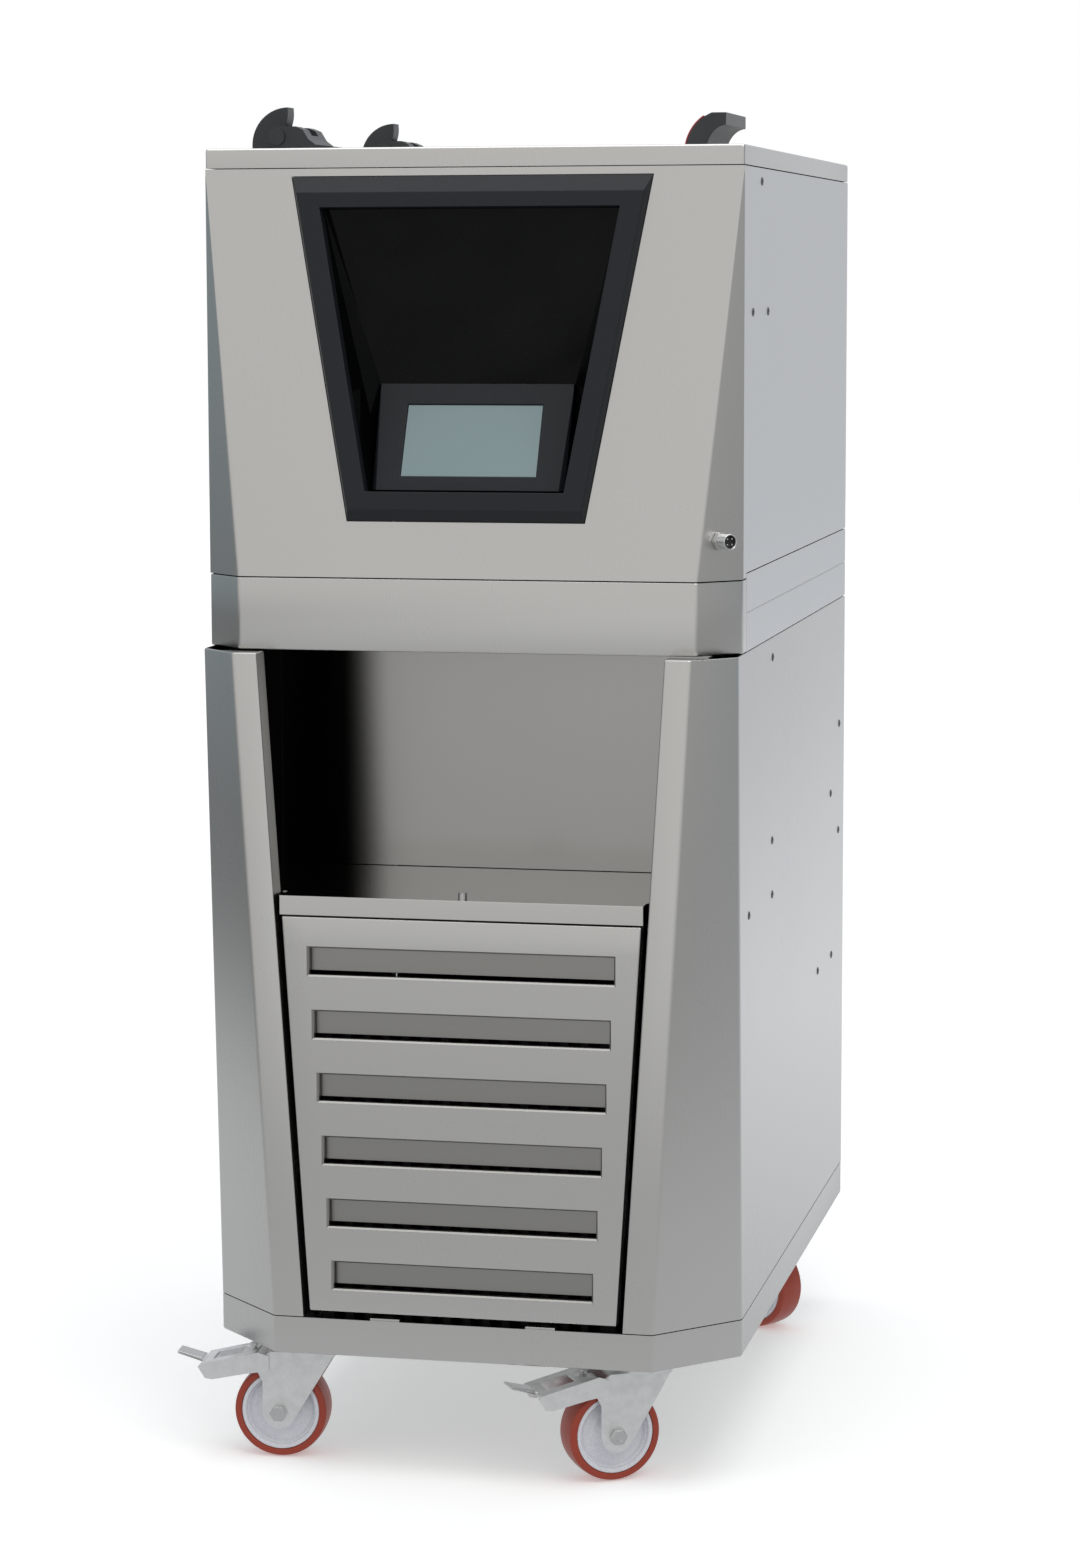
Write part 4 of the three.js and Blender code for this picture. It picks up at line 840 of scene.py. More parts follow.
def eased(node: str, radius: float, material: Material, slot: str, segments: int = 2) -> Piece:
    """Rebuilds a node with its edges eased, as bent or moulded edges are.

    The node's loose triangles are merged, and every edge sharper than 25 degrees is rounded over `radius`.

    Args:
        node: The node to stand for.
        radius: Width of the eased edge in metres.
        material: The piece's finish.
        slot: The slot that names its finish.
        segments: Steps across the eased edge.

    Returns:
        The new piece.
    """
    piece = welded(f"{node}_eased", frame["nodes"][node].data, outwards=False)
    ease = soften(piece, radius, 25, segments)
    ease.use_clamp_overlap = True
    ease.miter_outer = "MITER_ARC"
    flatten(piece)
    return dress(piece, material, body_of(node), slot, node)


# Sub-assemblies -----------------------------------------------------------------------------------------
@dataclass(frozen=True)
class Sizes:
    """The cabinet's main sizes and levels, in metres."""

    half: float = 0.2225
    front: float = -0.333
    rear: float = 0.333
    pan_z: float = 0.102
    pan_height: float = 0.031
    lower_z: float = 0.1338
    lower_height: float = 0.55
    belt_z: float = 0.6846
    belt_height: float = 0.059
    belt_y: float = -0.31
    upper_z: float = 0.7444
    upper_height: float = 0.329
    upper_y: float = -0.278
    cover_z: float = 1.0742
    cover_height: float = 0.016
    pan_corner: float = 0.0635
    neck_corner: float = 0.034
    upper_corner: float = 0.033
    post_low: float = 0.134
    post_high: float = 0.1682
    fold: float = 0.022
    gauge: float = 0.0015

    @property
    def lean(self) -> float:
        """How far the upper front leans back, as an angle."""
        return math.atan((self.upper_y - self.belt_y) / self.upper_height)


@dataclass(frozen=True)
class GrilleSizes:
    """Sizes of the grille and its air slots, in metres, measured from its foot and its middle."""

    height: float = 0.3294
    depth: float = 0.014
    rim: float = 0.0072
    lift: float = 0.005
    gap: float = 0.0053
    bend: float = 0.0016
    sunk: float = 0.001
    count: int = 6
    highest: float = 0.28
    pitch: float = 0.0524
    slot: float = 0.0252
    margin: float = 0.0179
    taper: float = 0.00044
    notch: float = 0.0045
    curl: float = 0.0007
    corner: float = 0.001


@dataclass
class Casing:
    """Folded sheet panels of the cabinet."""

    finishes: Finishes
    sizes: Sizes = field(default_factory=Sizes)
    air: GrilleSizes = field(default_factory=GrilleSizes)
    bend: float = 0.0024
    curl: float = 0.0012
    mouth: tuple[float, float, float] = (-0.162, 0.182, 0.256)
    lid: tuple[float, float, float] = (-0.16, 0.18, 0.254)
    flat: dict[str, tuple[float, str, str]] = field(default_factory=lambda: {
        "rear_panel": (0.0005, "side_sheet", "side_steel"),
        "bay_liner": (0.0004, "bay_sheet", "liner_steel"),
        "shelf": (0.0005, "shelf_sheet", "liner_steel"),
        "belt_side_right": (0.0005, "side_sheet", "side_steel"),
        "belt_side_left": (0.0005, "side_sheet", "side_steel"),
        "baffle_plate": (0.0003, "baffle_sheet_painted_shade", "liner_steel"),
    })

    def lower_side(self, side: int, name: str) -> None:
        """Side, slanted corner, post and fold: one path carried up, its corner narrowing with height.

        Args:
            side: 1 for the right, -1 for the left.
            name: The node it stands for.
        """
        d = self.sizes
        top = d.lower_z + d.lower_height
        rows = [
            raised(bent([
                (side * edge, d.front + d.fold, 0), (side * edge, d.front, 0.0016),
                (side * (d.half - corner), d.front, self.bend), (side * d.half, d.front + corner, self.bend),
                (side * d.half, d.rear, 0),
            ]), z)
            for edge, corner, z in ((d.post_low, d.pan_corner, d.lower_z), (d.post_high, d.neck_corner, top))
        ]
        curl, turn = self.curl, np.linspace(0, math.pi / 2, 5)[1:]
        along = np.gradient(rows[1][:, :2], axis=0)
        along /= np.linalg.norm(along, axis=1)[:, None]
        normal = side * np.stack([-along[:, 1], along[:, 0]], 1)
        rows[1][:, 2] = top - curl
        edge = rows[1][:, :2]
        rows += [
            raised(edge + normal * curl * (1 - math.cos(a)), top - curl * (1 - math.sin(a))) for a in turn
        ]
        piece = sheet(f"{name}_folded", np.stack(rows), (0, 0.1, 0.4), d.gauge)
        dress(piece, self.finishes["front_sheet"], "cabinet", "side_steel", name)
        inner, front, back = side * (d.post_high + 0.0004), d.front + 0.0008, d.front + d.fold
        cut = d.neck_corner - d.fold
        ledge = rounded([
            (inner, front, 0.0008), (side * (d.half - d.neck_corner - 0.0004), front, 0.0008),
            (side * (d.half - cut - 0.0006), back, 0.0002), (inner, back, 0.0002),
        ], 4)
        plate = slab(ledge[::side], -top + 0.0004, -top + d.gauge, 0.0003)
        closing = mesh_object(f"{name}_ledge", *placed(plate, Matrix.Rotation(-math.pi / 2, 4, "X")))
        dress(closing, self.finishes["front_sheet"], "cabinet", "side_steel")

    def pan(self) -> None:
        """Base pan: the plan outline carried up from a flat floor through a quarter-round edge."""
        d, edge = self.sizes, 0.0022
        outline = rounded([
            (d.half, d.rear, 0.002), (-d.half, d.rear, 0.002), (-d.half, d.front + d.pan_corner, self.bend),
            (-d.half + d.pan_corner, d.front, self.bend), (d.half - d.pan_corner, d.front, self.bend),
            (d.half, d.front + d.pan_corner, self.bend),
        ], 6)
        a = np.linspace(0, math.pi / 2, 5)
        rows = [
            raised(offset(outline, edge * (1 - math.sin(t))), d.pan_z + edge * (1 - math.cos(t))) for t in a
        ]
        rows.append(raised(outline, d.pan_z + d.pan_height))
        piece = sheet("base_pan_folded", np.stack(rows), (0, 0, d.pan_z + 0.03), 0.002, closed=True, cap=0)
        dress(piece, self.finishes["front_sheet"], "cabinet", "front_steel", "base_pan")
        tabs = []
        for x in (-0.0654, 0.0654):
            tab = rounded([
                (x - 0.0125, d.pan_z + 0.02, 0), (x + 0.0125, d.pan_z + 0.02, 0),
                (x + 0.0125, d.pan_z + 0.0326, 0.0004), (x - 0.0125, d.pan_z + 0.0326, 0.0004),
            ], 3)
            tabs.append(slab(tab, d.front + 0.0022, d.front + 0.012, 0.0004))
        dress(mesh_object("pan_tabs", *joined(tabs)), self.finishes["front_sheet"], "cabinet", "front_steel")

    def belt(self) -> None:
        """Belt: the upper body's front path, carried straight up."""
        d = self.sizes
        path = bent([
            (d.half, d.upper_y + 0.016, 0), (d.half, d.upper_y, self.bend),
            (d.half - d.upper_corner, d.belt_y, self.bend), (-d.half + d.upper_corner, d.belt_y, self.bend),
            (-d.half, d.upper_y, self.bend), (-d.half, d.upper_y + 0.016, 0),
        ])
        rows = curled(path, d.belt_z, d.belt_z + d.belt_height, self.curl, -1)
        piece = sheet("belt_front_folded", rows, (0, 0.1, d.belt_z + 0.03), d.gauge)
        dress(piece, self.finishes["front_sheet"], "cabinet", "front_steel", "belt_front")

    def upper_front(self) -> None:
        """Leaning front: rows up the slope; the slanted corners shrink to nothing at the top edge."""
        d = self.sizes
        low, high = 0.0454 * math.cos(d.lean), 0.3245 * math.cos(d.lean)
        rows = []
        for z in (0.0, low, high, d.upper_height):
            t = z / d.upper_height
            y = d.belt_y + t * (d.upper_y - d.belt_y)
            half = d.half - d.upper_corner * (1 - t)
            hole = np.interp(z, (low, high), (0.0986, 0.1496))
            right = bent([(d.half, d.upper_y, 0), (half, y, self.bend), (hole, y, 0)])
            left = np.array([-1, 1]) * right[::-1]
            rows.append(raised(np.concatenate([right, left]), d.upper_z + z))
        grid = np.stack(rows)
        holes = np.zeros((3, grid.shape[1] - 1), bool)
        holes[1, grid.shape[1] // 2 - 1] = True
        piece = sheet("upper_front_folded", grid, (0, 0.1, 0.9), d.gauge, holes=holes)
        dress(piece, self.finishes["front_sheet"], "cabinet", "front_steel", "upper_front_panel")

    def lidded(
        self, name: str, node: str, corners: tuple, levels: tuple, finish: str, mouth: Points | None,
    ) -> None:
        """A shallow turned-down tray, such as the cover or the lid: a rounded rim round a flat top.

        Args:
            name: The piece's name.
            node: The node it stands for.
            corners: Its two x and two y limits.
            levels: Its lowest and highest z.
            finish: Its finish.
            mouth: Outline of an opening in the top, or None for a closed top.
        """
        (x0, x1, y0, y1), (z0, z1), edge = corners, levels, 0.0024
        outline = rounded([(x1, y1, 0.0025), (x0, y1, 0.0025), (x0, y0, 0.0025), (x1, y0, 0.0025)], 6)
        a = np.linspace(0, math.pi / 2, 6)
        rows = [raised(outline, z0)]
        rows += [raised(offset(outline, edge * (1 - math.cos(t))), z1 - edge * (1 - math.sin(t))) for t in a]
        if mouth is not None:
            rows.append(raised(mouth, z1))
        body, cap = ("lid", -1) if mouth is None else ("cabinet", None)
        inside = ((x0 + x1) / 2, (y0 + y1) / 2, z0 - 0.3)
        piece = sheet(name, np.stack(rows), inside, self.sizes.gauge, closed=True, cap=cap)
        dress(piece, self.finishes[finish], body, "front_steel", node)

    def grille(self) -> None:
        """Grille: rows of its bent front, each row's sides following the posts, with six cells left open."""
        d, g = self.sizes, self.air
        front, foot = d.front + g.sunk, d.lower_z + g.lift

        def half(z: float) -> float:
            """Half width of the grille at a height above its foot."""
            return np.interp(z + g.lift, (0, d.lower_height), (d.post_low, d.post_high)) - g.gap

        bottoms = g.highest - g.pitch * np.arange(g.count)
        slots = [half(low) - g.margin - g.taper * row for row, low in enumerate(bottoms)]
        cuts = sorted([*bottoms, *(bottoms + g.slot)])
        turn = np.linspace(0, math.pi / 2, 5)
        ends = [(g.bend * (1 - math.cos(t)), g.bend * (1 - math.sin(t))) for t in turn]
        levels = [(0.0, g.depth), *ends, *((z, 0.0) for z in cuts)]
        levels += [(g.height - z, y) for z, y in reversed(ends)] + [(g.height, g.rim), (g.height, g.depth)]
        rows = []
        for z, y in levels:
            slot = slots[int(np.argmin(np.abs(bottoms + g.slot / 2 - z)))]
            side = half(z)
            right = bent([(side, g.depth, 0), (side, y, g.bend), (slot, y, 0)], 5)
            notch = np.array([(g.notch, y), (-g.notch, y)])
            path = np.concatenate([right, notch, np.array([-1, 1]) * right[::-1]])
            rows.append(raised(path + [0, front], foot + z))
        grid = np.stack(rows)
        first = 1 + len(ends)
        holes = np.zeros((len(levels) - 1, grid.shape[1] - 1), bool)
        middle = grid.shape[1] // 2 - 1
        holes[first:first + len(cuts) - 1:2, middle - 1:middle + 2] = True
        holes[-1, middle] = True
        piece = sheet("grille_folded", grid, (0, -0.2, 0.3), d.gauge, holes=holes, edge=0.0005)
        dress(piece, self.finishes["front_sheet"], "grille_door", "front_steel", "grille_panel")
        self.slot_returns([(slot, foot + low) for slot, low in zip(slots, bottoms)], front)

    def slot_returns(self, slots: list[tuple[float, float]], front: float) -> None:
        """Turned-in edges round the air slots: a closed path carried inwards through a small quarter round.

        Args:
            slots: Half width and lowest height of each slot.
            front: The Y place of the grille's face.
        """
        g, parts = self.air, []
        a = np.linspace(0, math.pi / 2, 4)
        outer = [g.curl * (1 - math.sin(t)) - 0.0001 for t in a[::-1]]
        inward = np.array([*outer, 0.0006, 0.0006, 0.0014, 0.0014])
        curve = [0.0004 + g.curl * (1 - math.cos(t)) for t in a]
        back = front + np.array([*curve, 0.0016, 0.0066, 0.0066, 0.0018])
        for half, low in slots:
            corners = ((half, low), (half, low + g.slot), (-half, low + g.slot), (-half, low))
            outline = rounded([(*corner, g.corner) for corner in corners], 4)
            parts.append((drawn(outline, inward, back), grid_faces(len(inward), len(outline), True, True)))
        piece = mesh_object("slot_returns", *joined(parts))
        # The slot returns take the baffle's darker tint: painted shade inside the slots.
        dress(piece, self.finishes["baffle_sheet_painted_shade"], "grille_door", "front_steel")

    def upper_side(self, side: int, name: str) -> None:
        """Upper side: a flat plate with rounded rims and a step at its lower front corner.

        Args:
            side: 1 for the right, -1 for the left.
            name: The node it stands for.
        """
        d = self.sizes
        low, step, high = d.upper_z, d.upper_z + 0.0042, d.upper_z + d.upper_height
        outline = rounded([
            (d.upper_y + 0.0008, low, 0), (d.upper_y + 0.016, low, 0), (d.upper_y + 0.016, step, 0),
            (d.rear, step, 0.0005), (d.rear, high, 0.0005), (d.upper_y + 0.0008, high, 0.0005),
        ], 3)
        outline[:, 0] *= side
        plate = slab(outline[::side], -d.half, -d.half + d.gauge, 0.0005)
        piece = mesh_object(f"{name}_plate", *placed(plate, Matrix.Rotation(side * math.pi / 2, 4, "Z")))
        dress(piece, self.finishes["side_sheet"], "cabinet", "side_steel", name)

    def filters(self) -> None:
        """Pleated felt behind each column of rear vents: a sine drawn down the sheet."""
        pitch, swing, near, back, low, high = 0.004, 0.0022, 0.322, 0.3255, 0.14, 0.62
        x = np.linspace(0.002, 0.2155, 214)
        fold = swing * np.sin(TAU * x / pitch)
        section = np.concatenate([np.stack([x, near + fold], 1), np.stack([x, back + fold], 1)[::-1]])
        for side, name in ((1, "right"), (-1, "left")):
            rows = np.stack([raised(section * [side, 1], z) for z in (low, high)])
            outline = rows[0]
            count = len(outline)
            faces = grid_faces(2, count, False, True)
            half = count // 2
            for start in (0, count):
                end = start + count - 1
                faces += [[start + n, start + n + 1, end - 1 - n, end - n] for n in range(half - 1)]
            piece = mesh_object(f"vent_filter_{name}", rows.reshape(-1, 3), faces, 60)
            dress(piece, self.finishes["filter_felt"], "cabinet", "unit_black")

    def build(self) -> None:
        """Builds every panel."""
        d = self.sizes
        self.lower_side(1, "lower_side_panel_right")
        self.lower_side(-1, "lower_side_panel_left")
        self.pan()
        self.belt()
        self.upper_front()
        x0, x1, y = self.mouth
        opening = rounded([(x1, y, 0.003), (x0, y, 0.003), (x0, -y, 0.003), (x1, -y, 0.003)], 6)
        top = d.cover_z + d.cover_height
        corners, levels = (-d.half, d.half, d.upper_y, d.rear), (d.cover_z, top)
        self.lidded("top_cover_folded", "top_cover", corners, levels, "front_sheet", opening)
        x0, x1, y = self.lid
        levels = (top - 0.009, top + 0.0005)
        self.lidded("tank_lid_folded", "tank_lid", (x0, x1, -y, y), levels, "lid_sheet", None)
        self.grille()
        self.upper_side(1, "upper_side_panel_right")
        self.upper_side(-1, "upper_side_panel_left")
        self.filters()
        for node, (radius, finish, slot) in self.flat.items():
            eased(node, radius, self.finishes[finish], slot)


@dataclass
class Console:
    """Bezel, glossy recess, display housing and display."""

    finishes: Finishes

    def build(self) -> None:
        """Eases the console's mouldings."""
        eased("bezel", 0.0006, self.finishes["bezel_plastic"], "bezel_plastic")
        eased("recess_shell", 0.0006, self.finishes["black_fascia"], "recess_gloss")
        eased("console_housing", 0.0007, self.finishes["bezel_plastic"], "bezel_plastic")
        eased("touchscreen", 0.0004, self.finishes["display_glass"], "screen_glass")


@dataclass
class Caster:
    """A swivel caster: pressed fork, ball race, urethane tyre on a nylon core, bolt and brake."""

    finishes: Finishes
    name: str
    x: float
    y: float
    heading: float
    braked: bool
    radius: float = 0.04
    width: float = 0.028
    trail: float = 0.028
    core: float = 0.033
    height: float = 0.102
    pin: tuple[float, float, float] = (0.041, 0, 0.082)

    @property
    def axle(self) -> Matrix:
        """Place of the wheel's centre, with the axle along local Y."""
        return self.pivot @ Matrix.Translation((self.trail, 0, self.radius))

    @property
    def pivot(self) -> Matrix:
        """Place of the swivel axis at floor level."""
        return Matrix.Translation((self.x, self.y, 0)) @ Matrix.Rotation(math.radians(self.heading), 4, "Z")

    @property
    def pedal(self) -> Matrix:
        """Place of the brake pedal's pin."""
        return self.pivot @ Matrix.Translation(self.pin)

    def tread(self) -> Piece:
        """Tyre: a flat-crowned ring whose shoulders are rounded, turned about the axle.

        Returns:
            The tyre.
        """
        half, inside = self.width / 2, self.core + 0.0003
        outline = rounded([
            (inside, -half, 0.0006), (self.radius - 0.001, -half, 0.004), (self.radius, 0, 0.006),
            (self.radius - 0.001, half, 0.004), (inside, half, 0.0006),
        ], 7)
        return mesh_object(f"{self.name}_tyre", *placed(turned(outline, 96), self.axle))

    def hub(self) -> Piece:
        """Core: a dished disc with a raised rim, a stepped ring and a long boss, turned about the axle.

        Returns:
            The core.
        """
        half, bore, boss = self.width / 2 - 0.0006, 0.0049, 0.0167
        side = [
            (bore, boss, 0.0004), (0.0105, boss, 0.001), (0.0125, 0.0088, 0.002),
            (0.0185, 0.0078, 0.001), (0.0192, 0.007, 0.0006), (0.0262, 0.0066, 0.0015),
            (0.0278, 0.0098, 0.001), (0.0288, 0.0102, 0.0006), (0.0296, half, 0.0012),
            (self.core, half, 0.0008),
        ]
        whole = side + [(r, -h, edge) for r, h, edge in reversed(side)]
        return mesh_object(f"{self.name}_hub", *placed(turned(rounded(whole, 4), 96), self.axle), smooth=50.0)

    def bolt(self) -> Piece:
        """Axle bolt: a shank, two washers and two hexagon heads.

        A head's outline radius is R cos 30 / cos b, where b is the angle from the nearest flat's middle.

        Returns:
            The bolt.
        """
        face, parts = 0.0198, []
        shank = rounded([(0.0, -face, 0), (0.0045, -face, 0), (0.0045, face, 0), (0.0, face, 0)], 2)
        parts.append(turned(np.maximum(shank, [[ON_AXIS, -1]]), 24))
        angle = np.linspace(0, TAU, 48, endpoint=False)
        flat = 0.0072 * math.cos(math.pi / 6) / np.cos((angle % (math.pi / 3)) - math.pi / 6)
        hexagon = np.stack([flat * np.cos(angle), flat * np.sin(angle)], -1)
        for low, high in ((face, face + 0.0048), (-face - 0.0048, -face)):
            parts.append(slab(hexagon, low, high, 0.0007))
            middle = (low + high) / 2
            out = math.copysign(0.0026, middle)
            ring = rounded([
                (0.0030, middle + out * 0.9, 0.0002), (0.0058, middle + out * 0.9, 0.0002),
                (0.0056, middle + out * 1.02, 0.0002), (0.0032, middle + out * 1.02, 0.0002),
            ], 3)
            parts.append(turned(ring, 32))
        return mesh_object(f"{self.name}_bolt", *placed(joined(parts), self.axle))

    def race(self) -> Piece:
        """Ball race: two stacked rings with a groove between them, turned about the swivel axis.

        Returns:
            The race.
        """
        top, low = self.height - 0.0004, self.height - 0.0098
        outline = rounded([
            (ON_AXIS, low, 0), (0.0225, low, 0.0015), (0.0258, low + 0.0022, 0.0015),
            (0.0258, low + 0.0040, 0.001), (0.0236, low + 0.0048, 0.0006), (0.0236, low + 0.0056, 0.0006),
            (0.0259, low + 0.0064, 0.001), (0.0259, top, 0.0006), (ON_AXIS, top, 0),
        ], 5)
        upright = self.pivot @ Matrix.Rotation(math.pi / 2, 4, "X")
        return mesh_object(f"{self.name}_race", *placed(turned(outline, 72), upright))

    def spring(self) -> Piece:
        """Brake spring: a wire of round section wound about the pedal's pin: (R cos a, pitch a, R sin a).

        Returns:
            The spring.
        """
        turns, wire, coil, half, sides = 9, 0.0007, 0.0036, 0.0135, 8
        a = np.linspace(0, turns * TAU, turns * 20)
        s = np.linspace(0, TAU, sides, endpoint=False)[None, :, None]
        centre = np.stack([coil * np.cos(a), np.linspace(-half, half, len(a)), coil * np.sin(a)], -1)
        out = np.stack([np.cos(a), np.zeros_like(a), np.sin(a)], -1)
        up = np.array([0.0, 1.0, 0.0])
        section = centre[:, None, :] + wire * (np.cos(s) * out[:, None, :] + np.sin(s) * up)
        last = (len(a) - 1) * sides
        faces = grid_faces(len(a), sides, False, True)
        faces += [list(range(sides)), list(range(last, last + sides))]
        return mesh_object(f"{self.name}_brake_spring", *placed((section.reshape(-1, 3), faces), self.pedal))

    def grip(self) -> Piece:
        """Sleeve over the pedal's tongue: a slanted outline with rounded rims, carried across.

        Returns:
            The sleeve.
        """
        start, end, half = 0.0545, 0.0758, 0.0092
        outline = rounded([
            (start, -0.0037, 0.0006), (end, 0.0028, 0.0008), (end, 0.0052, 0.0008), (start, -0.0004, 0.0006),
        ], 4)
        return mesh_object(f"{self.name}_pedal_grip", *placed(slab(outline, -half, half, 0.0008), self.pedal))

    def adjuster(self) -> Piece:
        """Brake screw on the pedal's web: shank with a wavy thread, then a hexagon head, turned upright.

        Returns:
            The screw.
        """
        length, pitch = 0.006, 0.001
        z = np.linspace(0.0, length, 25)
        shank = np.stack([0.0018 + 0.0002 * np.abs(2 * ((z / pitch) % 1) - 1), z], 1)
        parts = [turned(np.concatenate([shank, [(ON_AXIS, length), (ON_AXIS, 0.0)]]), 24)]
        parts.append(slab(hexagon(0.0037, 0.0004, 3), 0.004, 0.0066, 0.0004))
        upright = Matrix.Translation((0.0115, 0, 0.0058)) @ Matrix.Rotation(math.pi / 2, 4, "X")
        return mesh_object(f"{self.name}_brake_screw", *placed(joined(parts), self.pedal @ upright))

    def build(self) -> None:
        """Builds the caster's pieces and dresses them."""
        wheel, swivel = f"{self.name}_wheel", f"{self.name}_swivel"
        dress(self.tread(), self.finishes["tread_urethane"], wheel, "caster_tread", f"{self.name}_tread")
        dress(self.hub(), self.finishes["core_nylon"], wheel, "caster_core", f"{self.name}_core")
        dress(self.bolt(), self.finishes["turned_steel"], swivel, "bright_steel", f"{self.name}_axle_bolt")
        dress(self.race(), self.finishes["zinc_plate"], swivel, "bright_steel")
        eased(f"{self.name}_fork", 0.0007, self.finishes["zinc_plate"], "bright_steel")
        if self.braked:
            eased(f"{self.name}_brake_pedal", 0.0005, self.finishes["zinc_plate"], "bright_steel")
            for piece in (self.spring(), self.grip(), self.adjuster()):
                dress(piece, self.finishes["turned_steel"], f"{self.name}_brake", "bright_steel")


@dataclass
class Fasteners:
    """Button-head screws along both sides, each with a hexagon socket and a raised rim."""

    finishes: Finishes
    sizes: Sizes = field(default_factory=Sizes)
    radius: float = 0.0036
    lower: tuple = (
        (-0.362, 0.97), (0.896, 0.784), (0.728, 0.675), (0.89, 0.599), (-0.356, 0.686),
        (-0.352, 0.601), (-0.727, 0.604), (0.761, 0.393), (0.489, 0.393),
    )
    upper: tuple = ((-0.569, 0.967), (-0.701, 0.647), (-0.464, 0.647))

    def head(self) -> Solid:
        """A button head turned about Y: flat underside, domed crown and a socket sunk in it.

        Returns:
            Vertices and faces.
        """
        r = self.radius
        outline = rounded([
            (ON_AXIS, 0.0002, 0), (r, 0.0002, 0), (r, -0.0002, 0.0001), (r * 0.86, -0.0007, 0.0003),
            (r * 0.6, -0.00095, 0.0003), (r * 0.5, -0.00095, 0.0001), (r * 0.46, -0.0001, 0.0001),
            (ON_AXIS, 0.0, 0),
        ], 4)
        return turned(outline, 24)

    def build(self) -> None:
        """Sets the screws in both sides of the cabinet."""
        d = self.sizes
        levels = {
            "lower": (self.lower, d.lower_z, d.lower_height),
            "upper": (self.upper, d.upper_z, d.upper_height),
        }
        for side, name in ((1, "right"), (-1, "left")):
            turn = Matrix.Rotation(side * math.pi / 2, 4, "Z")
            for level, (places, foot, height) in levels.items():
                spots = [(side * d.half, y * d.rear, foot + z * height) for y, z in places]
                heads = [placed(self.head(), Matrix.Translation(spot) @ turn) for spot in spots]
                piece = mesh_object(f"{level}_screws_{name}", *joined(heads))
                dress(piece, self.finishes["dark_screw"], "cabinet", "bright_steel")


@dataclass
class SensorSocket:
    """Threaded socket on the right corner: barrel, hexagon nut and a black four-pin insert."""

    finishes: Finishes
    place: tuple[float, float, float] = (0.206, -0.294, 0.7764)
    turn: float = math.atan2(0.032, 0.033)

    def barrel(self) -> Solid:
        """Barrel turned about Y; its radius falls and rises once in each pitch as a thread does.

        Returns:
            Vertices and faces.
        """
        pitch, root, depth = 0.0015, 0.0063, 0.0003
        y = np.linspace(-0.0145, -0.0056, 49)
        radius = root + depth * np.abs(2 * ((y / pitch) % 1) - 1)
        thread = np.stack([radius, y], 1)
        rest = [(0.0064, 0.0118), (0.0052, 0.012), (0.0052, -0.0116), (0.0053, -0.0147), (0.006, -0.015)]
        return turned(np.concatenate([thread, rest]), 48)

    def build(self) -> None:
        """Puts the socket together."""
        spot = Matrix.Translation(self.place) @ Matrix.Rotation(self.turn, 4, "Z")
        nut = slab(hexagon(0.0084, 0.0012, 4), -0.0053, -0.0003, 0.0006)
        shell = mesh_object("socket_barrel", *placed(joined([self.barrel(), nut]), spot))
        dress(shell, self.finishes["turned_steel"], "cabinet", "bright_steel", "sensor_socket")
        disc = rod(0.0051, -0.0112, 0.008, (0.0004, 0.0004))
        insert = mesh_object("socket_insert", *placed(turned(disc, 40), spot))
        dress(insert, self.finishes["pin_insert"], "cabinet", "black_plastic")
        pin, off = turned(rod(0.0007, -0.0142, -0.011, (0.0005, 0)), 16), 0.0022
        places = ((off, off), (-off, off), (off, -off), (-off, -off))
        pins = [placed(pin, spot @ Matrix.Translation((x, 0, z))) for x, z in places]
        contacts = mesh_object("socket_pins", *joined(pins))
        dress(contacts, self.finishes["turned_steel"], "cabinet", "bright_steel")


@dataclass
class Hinges:
    """Lid hinges: fixed fins with their pins and the forked arms on the lid."""

    finishes: Finishes

    def build(self) -> None:
        """Eases the hinge mouldings."""
        for end in ("front", "rear"):
            eased(f"hinge_base_{end}", 0.0008, self.finishes["hinge_nylon"], "black_plastic")
            eased(f"hinge_arm_{end}", 0.0008, self.finishes["hinge_nylon"], "black_plastic")
        eased("lid_handle", 0.0016, self.finishes["handle_nylon"], "black_plastic", 3)
        eased("handle_trim", 0.0003, self.finishes["red_insert"], "red_accent")


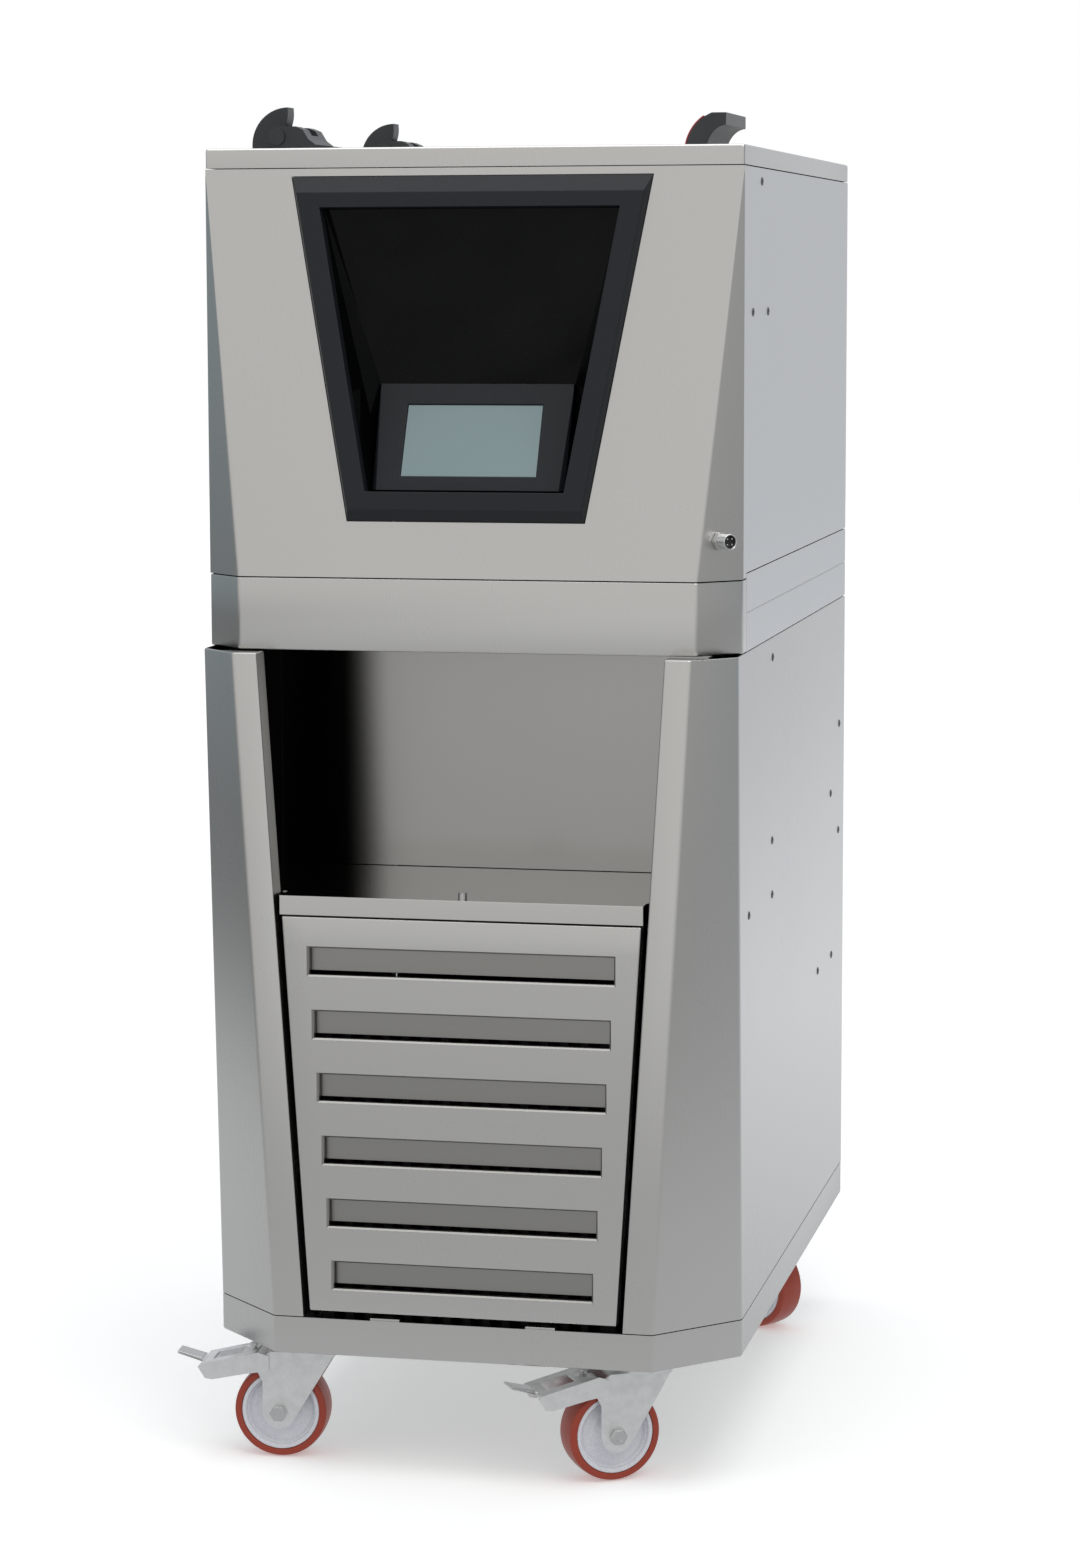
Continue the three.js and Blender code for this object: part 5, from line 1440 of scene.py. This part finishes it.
@dataclass
class Studio:
    """Camera, pale floor and soft light."""

    lens: float = 91.74
    place: tuple[float, float, float] = (0.7234, -3.3952, 0.9832)
    turn: tuple[float, float, float] = (12.096, 82.874, -0.146)

    def camera(self) -> None:
        """Sets the camera: it turns about Z, then tips about X, then rolls."""
        data = bpy.data.cameras.new("studio_camera")
        data.lens = self.lens
        data.sensor_width = 36.0
        data.sensor_fit = "AUTO"
        data.clip_end = 50
        camera = bpy.data.objects.new("studio_camera", data)
        about, tip, roll = (math.radians(a) for a in self.turn)
        camera.matrix_world = (
            Matrix.Translation(self.place) @ Matrix.Rotation(about, 4, "Z")
            @ Matrix.Rotation(tip, 4, "X") @ Matrix.Rotation(roll, 4, "Z")
        )
        bpy.context.scene.collection.objects.link(camera)
        bpy.context.scene.camera = camera

    def floor(self) -> None:
        """Lays a wide pale floor."""
        size = 14.0
        corners = np.array([(-size, -size, 0), (size, -size, 0), (size, size, 0), (-size, size, 0)], float)
        mesh = bpy.data.meshes.new("floor")
        mesh.from_pydata(corners.tolist(), [], [(0, 1, 2, 3)])
        floor = bpy.data.objects.new("floor", mesh)
        bpy.context.scene.collection.objects.link(floor)
        material, tree, shader = blank("pale_floor", {"Roughness": 0.9, "Specular IOR Level": 0.1})
        place = tree.object_place()
        away = tree.add("ShaderNodeVectorMath", {0: place}, operation="LENGTH").outputs["Value"]
        parts = tree.add("ShaderNodeSeparateXYZ", {0: place})
        seen = tree.add("ShaderNodeLightPath").outputs["Is Camera Ray"]
        cloudy = tree.spread(tree.noise(place, 1.5), 0.3, 0.7, (0.97, 1.0))
        far = tree.spread(away, 0.7, 1.8, (0.0, 1.0))
        ramp = tree.ramp(tree.spread(parts.outputs["Y"], -5.0, 2.0, (0, 1)), {
            0: (0.72, 0.72, 0.715), 1: (0.76, 0.78, 0.81), 0.5: (0.3, 0.3, 0.3),
        })
        left = tree.spread(parts.outputs["X"], -3.4, -1.6, (0.15, 1.0))
        aside = tree.math("MULTIPLY", left, tree.spread(parts.outputs["X"], 0.8, 2.4, (1.0, 0.72)))
        glow = tree.scaled(ramp, aside)
        pale = tree.blend(far, rgba((0.93, 0.93, 0.93)), rgba((0, 0, 0)))
        white = tree.blend(far, rgba((0.3, 0.3, 0.3)), rgba((1.05, 1.05, 1.05)))
        tree.feed(shader, {
            "Base Color": tree.blend(seen, rgba((0.12, 0.12, 0.12)), pale),
            "Emission Color": tree.blend(seen, glow, white), "Roughness": cloudy,
        })
        shader.inputs["Emission Strength"].default_value = 1.0
        floor.data.materials.append(material)

    def area(self, name: str, place: tuple, aim: tuple, size: tuple, power: float, colour: Colour) -> None:
        """Hangs one soft rectangular light.

        Args:
            name: The light's name.
            place: Where it hangs.
            aim: The point it faces.
            size: Its width and height.
            power: Its power in watts.
            colour: Its colour.
        """
        data = bpy.data.lights.new(name, "AREA")
        data.shape = "RECTANGLE"
        data.size, data.size_y = size
        data.energy = power
        data.color = colour
        lamp = bpy.data.objects.new(name, data)
        lamp.location = place
        lamp.rotation_euler = (Vector(aim) - Vector(place)).to_track_quat("-Z", "Y").to_euler()
        bpy.context.scene.collection.objects.link(lamp)

    def surroundings(self) -> None:
        """Lights the room: pale behind the object, dimmer in front and to the sides."""
        world = bpy.data.worlds.new("studio")
        bpy.context.scene.world = world
        world.use_nodes = True
        tree = Tree(world.node_tree)
        sky = world.node_tree.nodes["Background"]
        way = tree.add("ShaderNodeTexCoord").outputs["Generated"]
        parts = tree.add("ShaderNodeSeparateXYZ", {0: way})
        ramp = tree.ramp(tree.spread(parts.outputs["Y"], -1, 1, (0, 1)), {
            0: (0.74, 0.735, 0.725), 1: (0.68, 0.695, 0.715), 0.14: (0.7, 0.695, 0.685),
            0.34: (0.46, 0.455, 0.45), 0.62: (0.23, 0.29, 0.32), 0.86: (0.54, 0.555, 0.58),
        })
        seen = tree.add("ShaderNodeLightPath").outputs["Is Camera Ray"]
        colour = tree.blend(seen, ramp, (1, 1, 1, 1))
        world.node_tree.links.new(colour, sky.inputs["Color"])
        sky.inputs["Strength"].default_value = 1.0

    def build(self) -> None:
        """Sets up the whole studio."""
        self.camera()
        self.floor()
        self.surroundings()
        self.area("key", (2.2, -2.4, 3.4), (0, 0, 0.5), (2.4, 2.4), 28, (1.0, 0.98, 0.95))
        self.area("fill", (-3.0, -1.6, 2.4), (0, 0, 0.6), (2.0, 2.4), 6, (0.93, 0.96, 1.0))
        self.area("overhead", (0, 0, 4.0), (0, 0, 0), (4.0, 4.0), 80, (1.0, 1.0, 1.0))
        bpy.context.scene.view_settings.view_transform = "Standard"


PLAIN: dict[str, str] = {
    "equipment_deck": "liner_sheet", "water_tank": "liner_sheet", "heating_element": "turned_steel",
    # The condenser's near-black finish is painted shade behind the grille.
    "condenser": "fins_in_painted_shade", "fan_shroud": "black_enamel", "fan_rotor": "black_enamel",
    "compressor": "black_enamel", "circulation_pump": "black_enamel", "control_board": "circuit_green",
    "power_inlet": "hinge_nylon",
    "power_switch": "hinge_nylon", "drain_valve": "turned_steel", "drain_knob": "hinge_nylon",
    "latch_pin": "turned_steel", "lid_seal": "grey_silicone",
}


CASTERS: dict[str, tuple[float, float, float, bool]] = {
    "front_right": (0.1395, -0.276, 211, True), "front_left": (-0.1395, -0.276, 184, True),
    "rear_right": (0.1395, 0.224, -31, False), "rear_left": (-0.1395, 0.224, 158, False),
}


def main() -> None:
    """Builds every sub-assembly in order."""
    logging.basicConfig(level=logging.INFO, format="%(name)s: %(message)s")
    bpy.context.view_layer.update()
    finishes = Finishes()
    for node, finish in PLAIN.items():
        mesh = frame["nodes"][node].data
        mesh.materials.clear()
        mesh.materials.append(finishes[finish])
    Casing(finishes).build()
    Console(finishes).build()
    Hinges(finishes).build()
    Fasteners(finishes).build()
    SensorSocket(finishes).build()
    for name, place in CASTERS.items():
        Caster(finishes, name, *place).build()
    Studio().build()


if __name__ == "__main__":
    main()
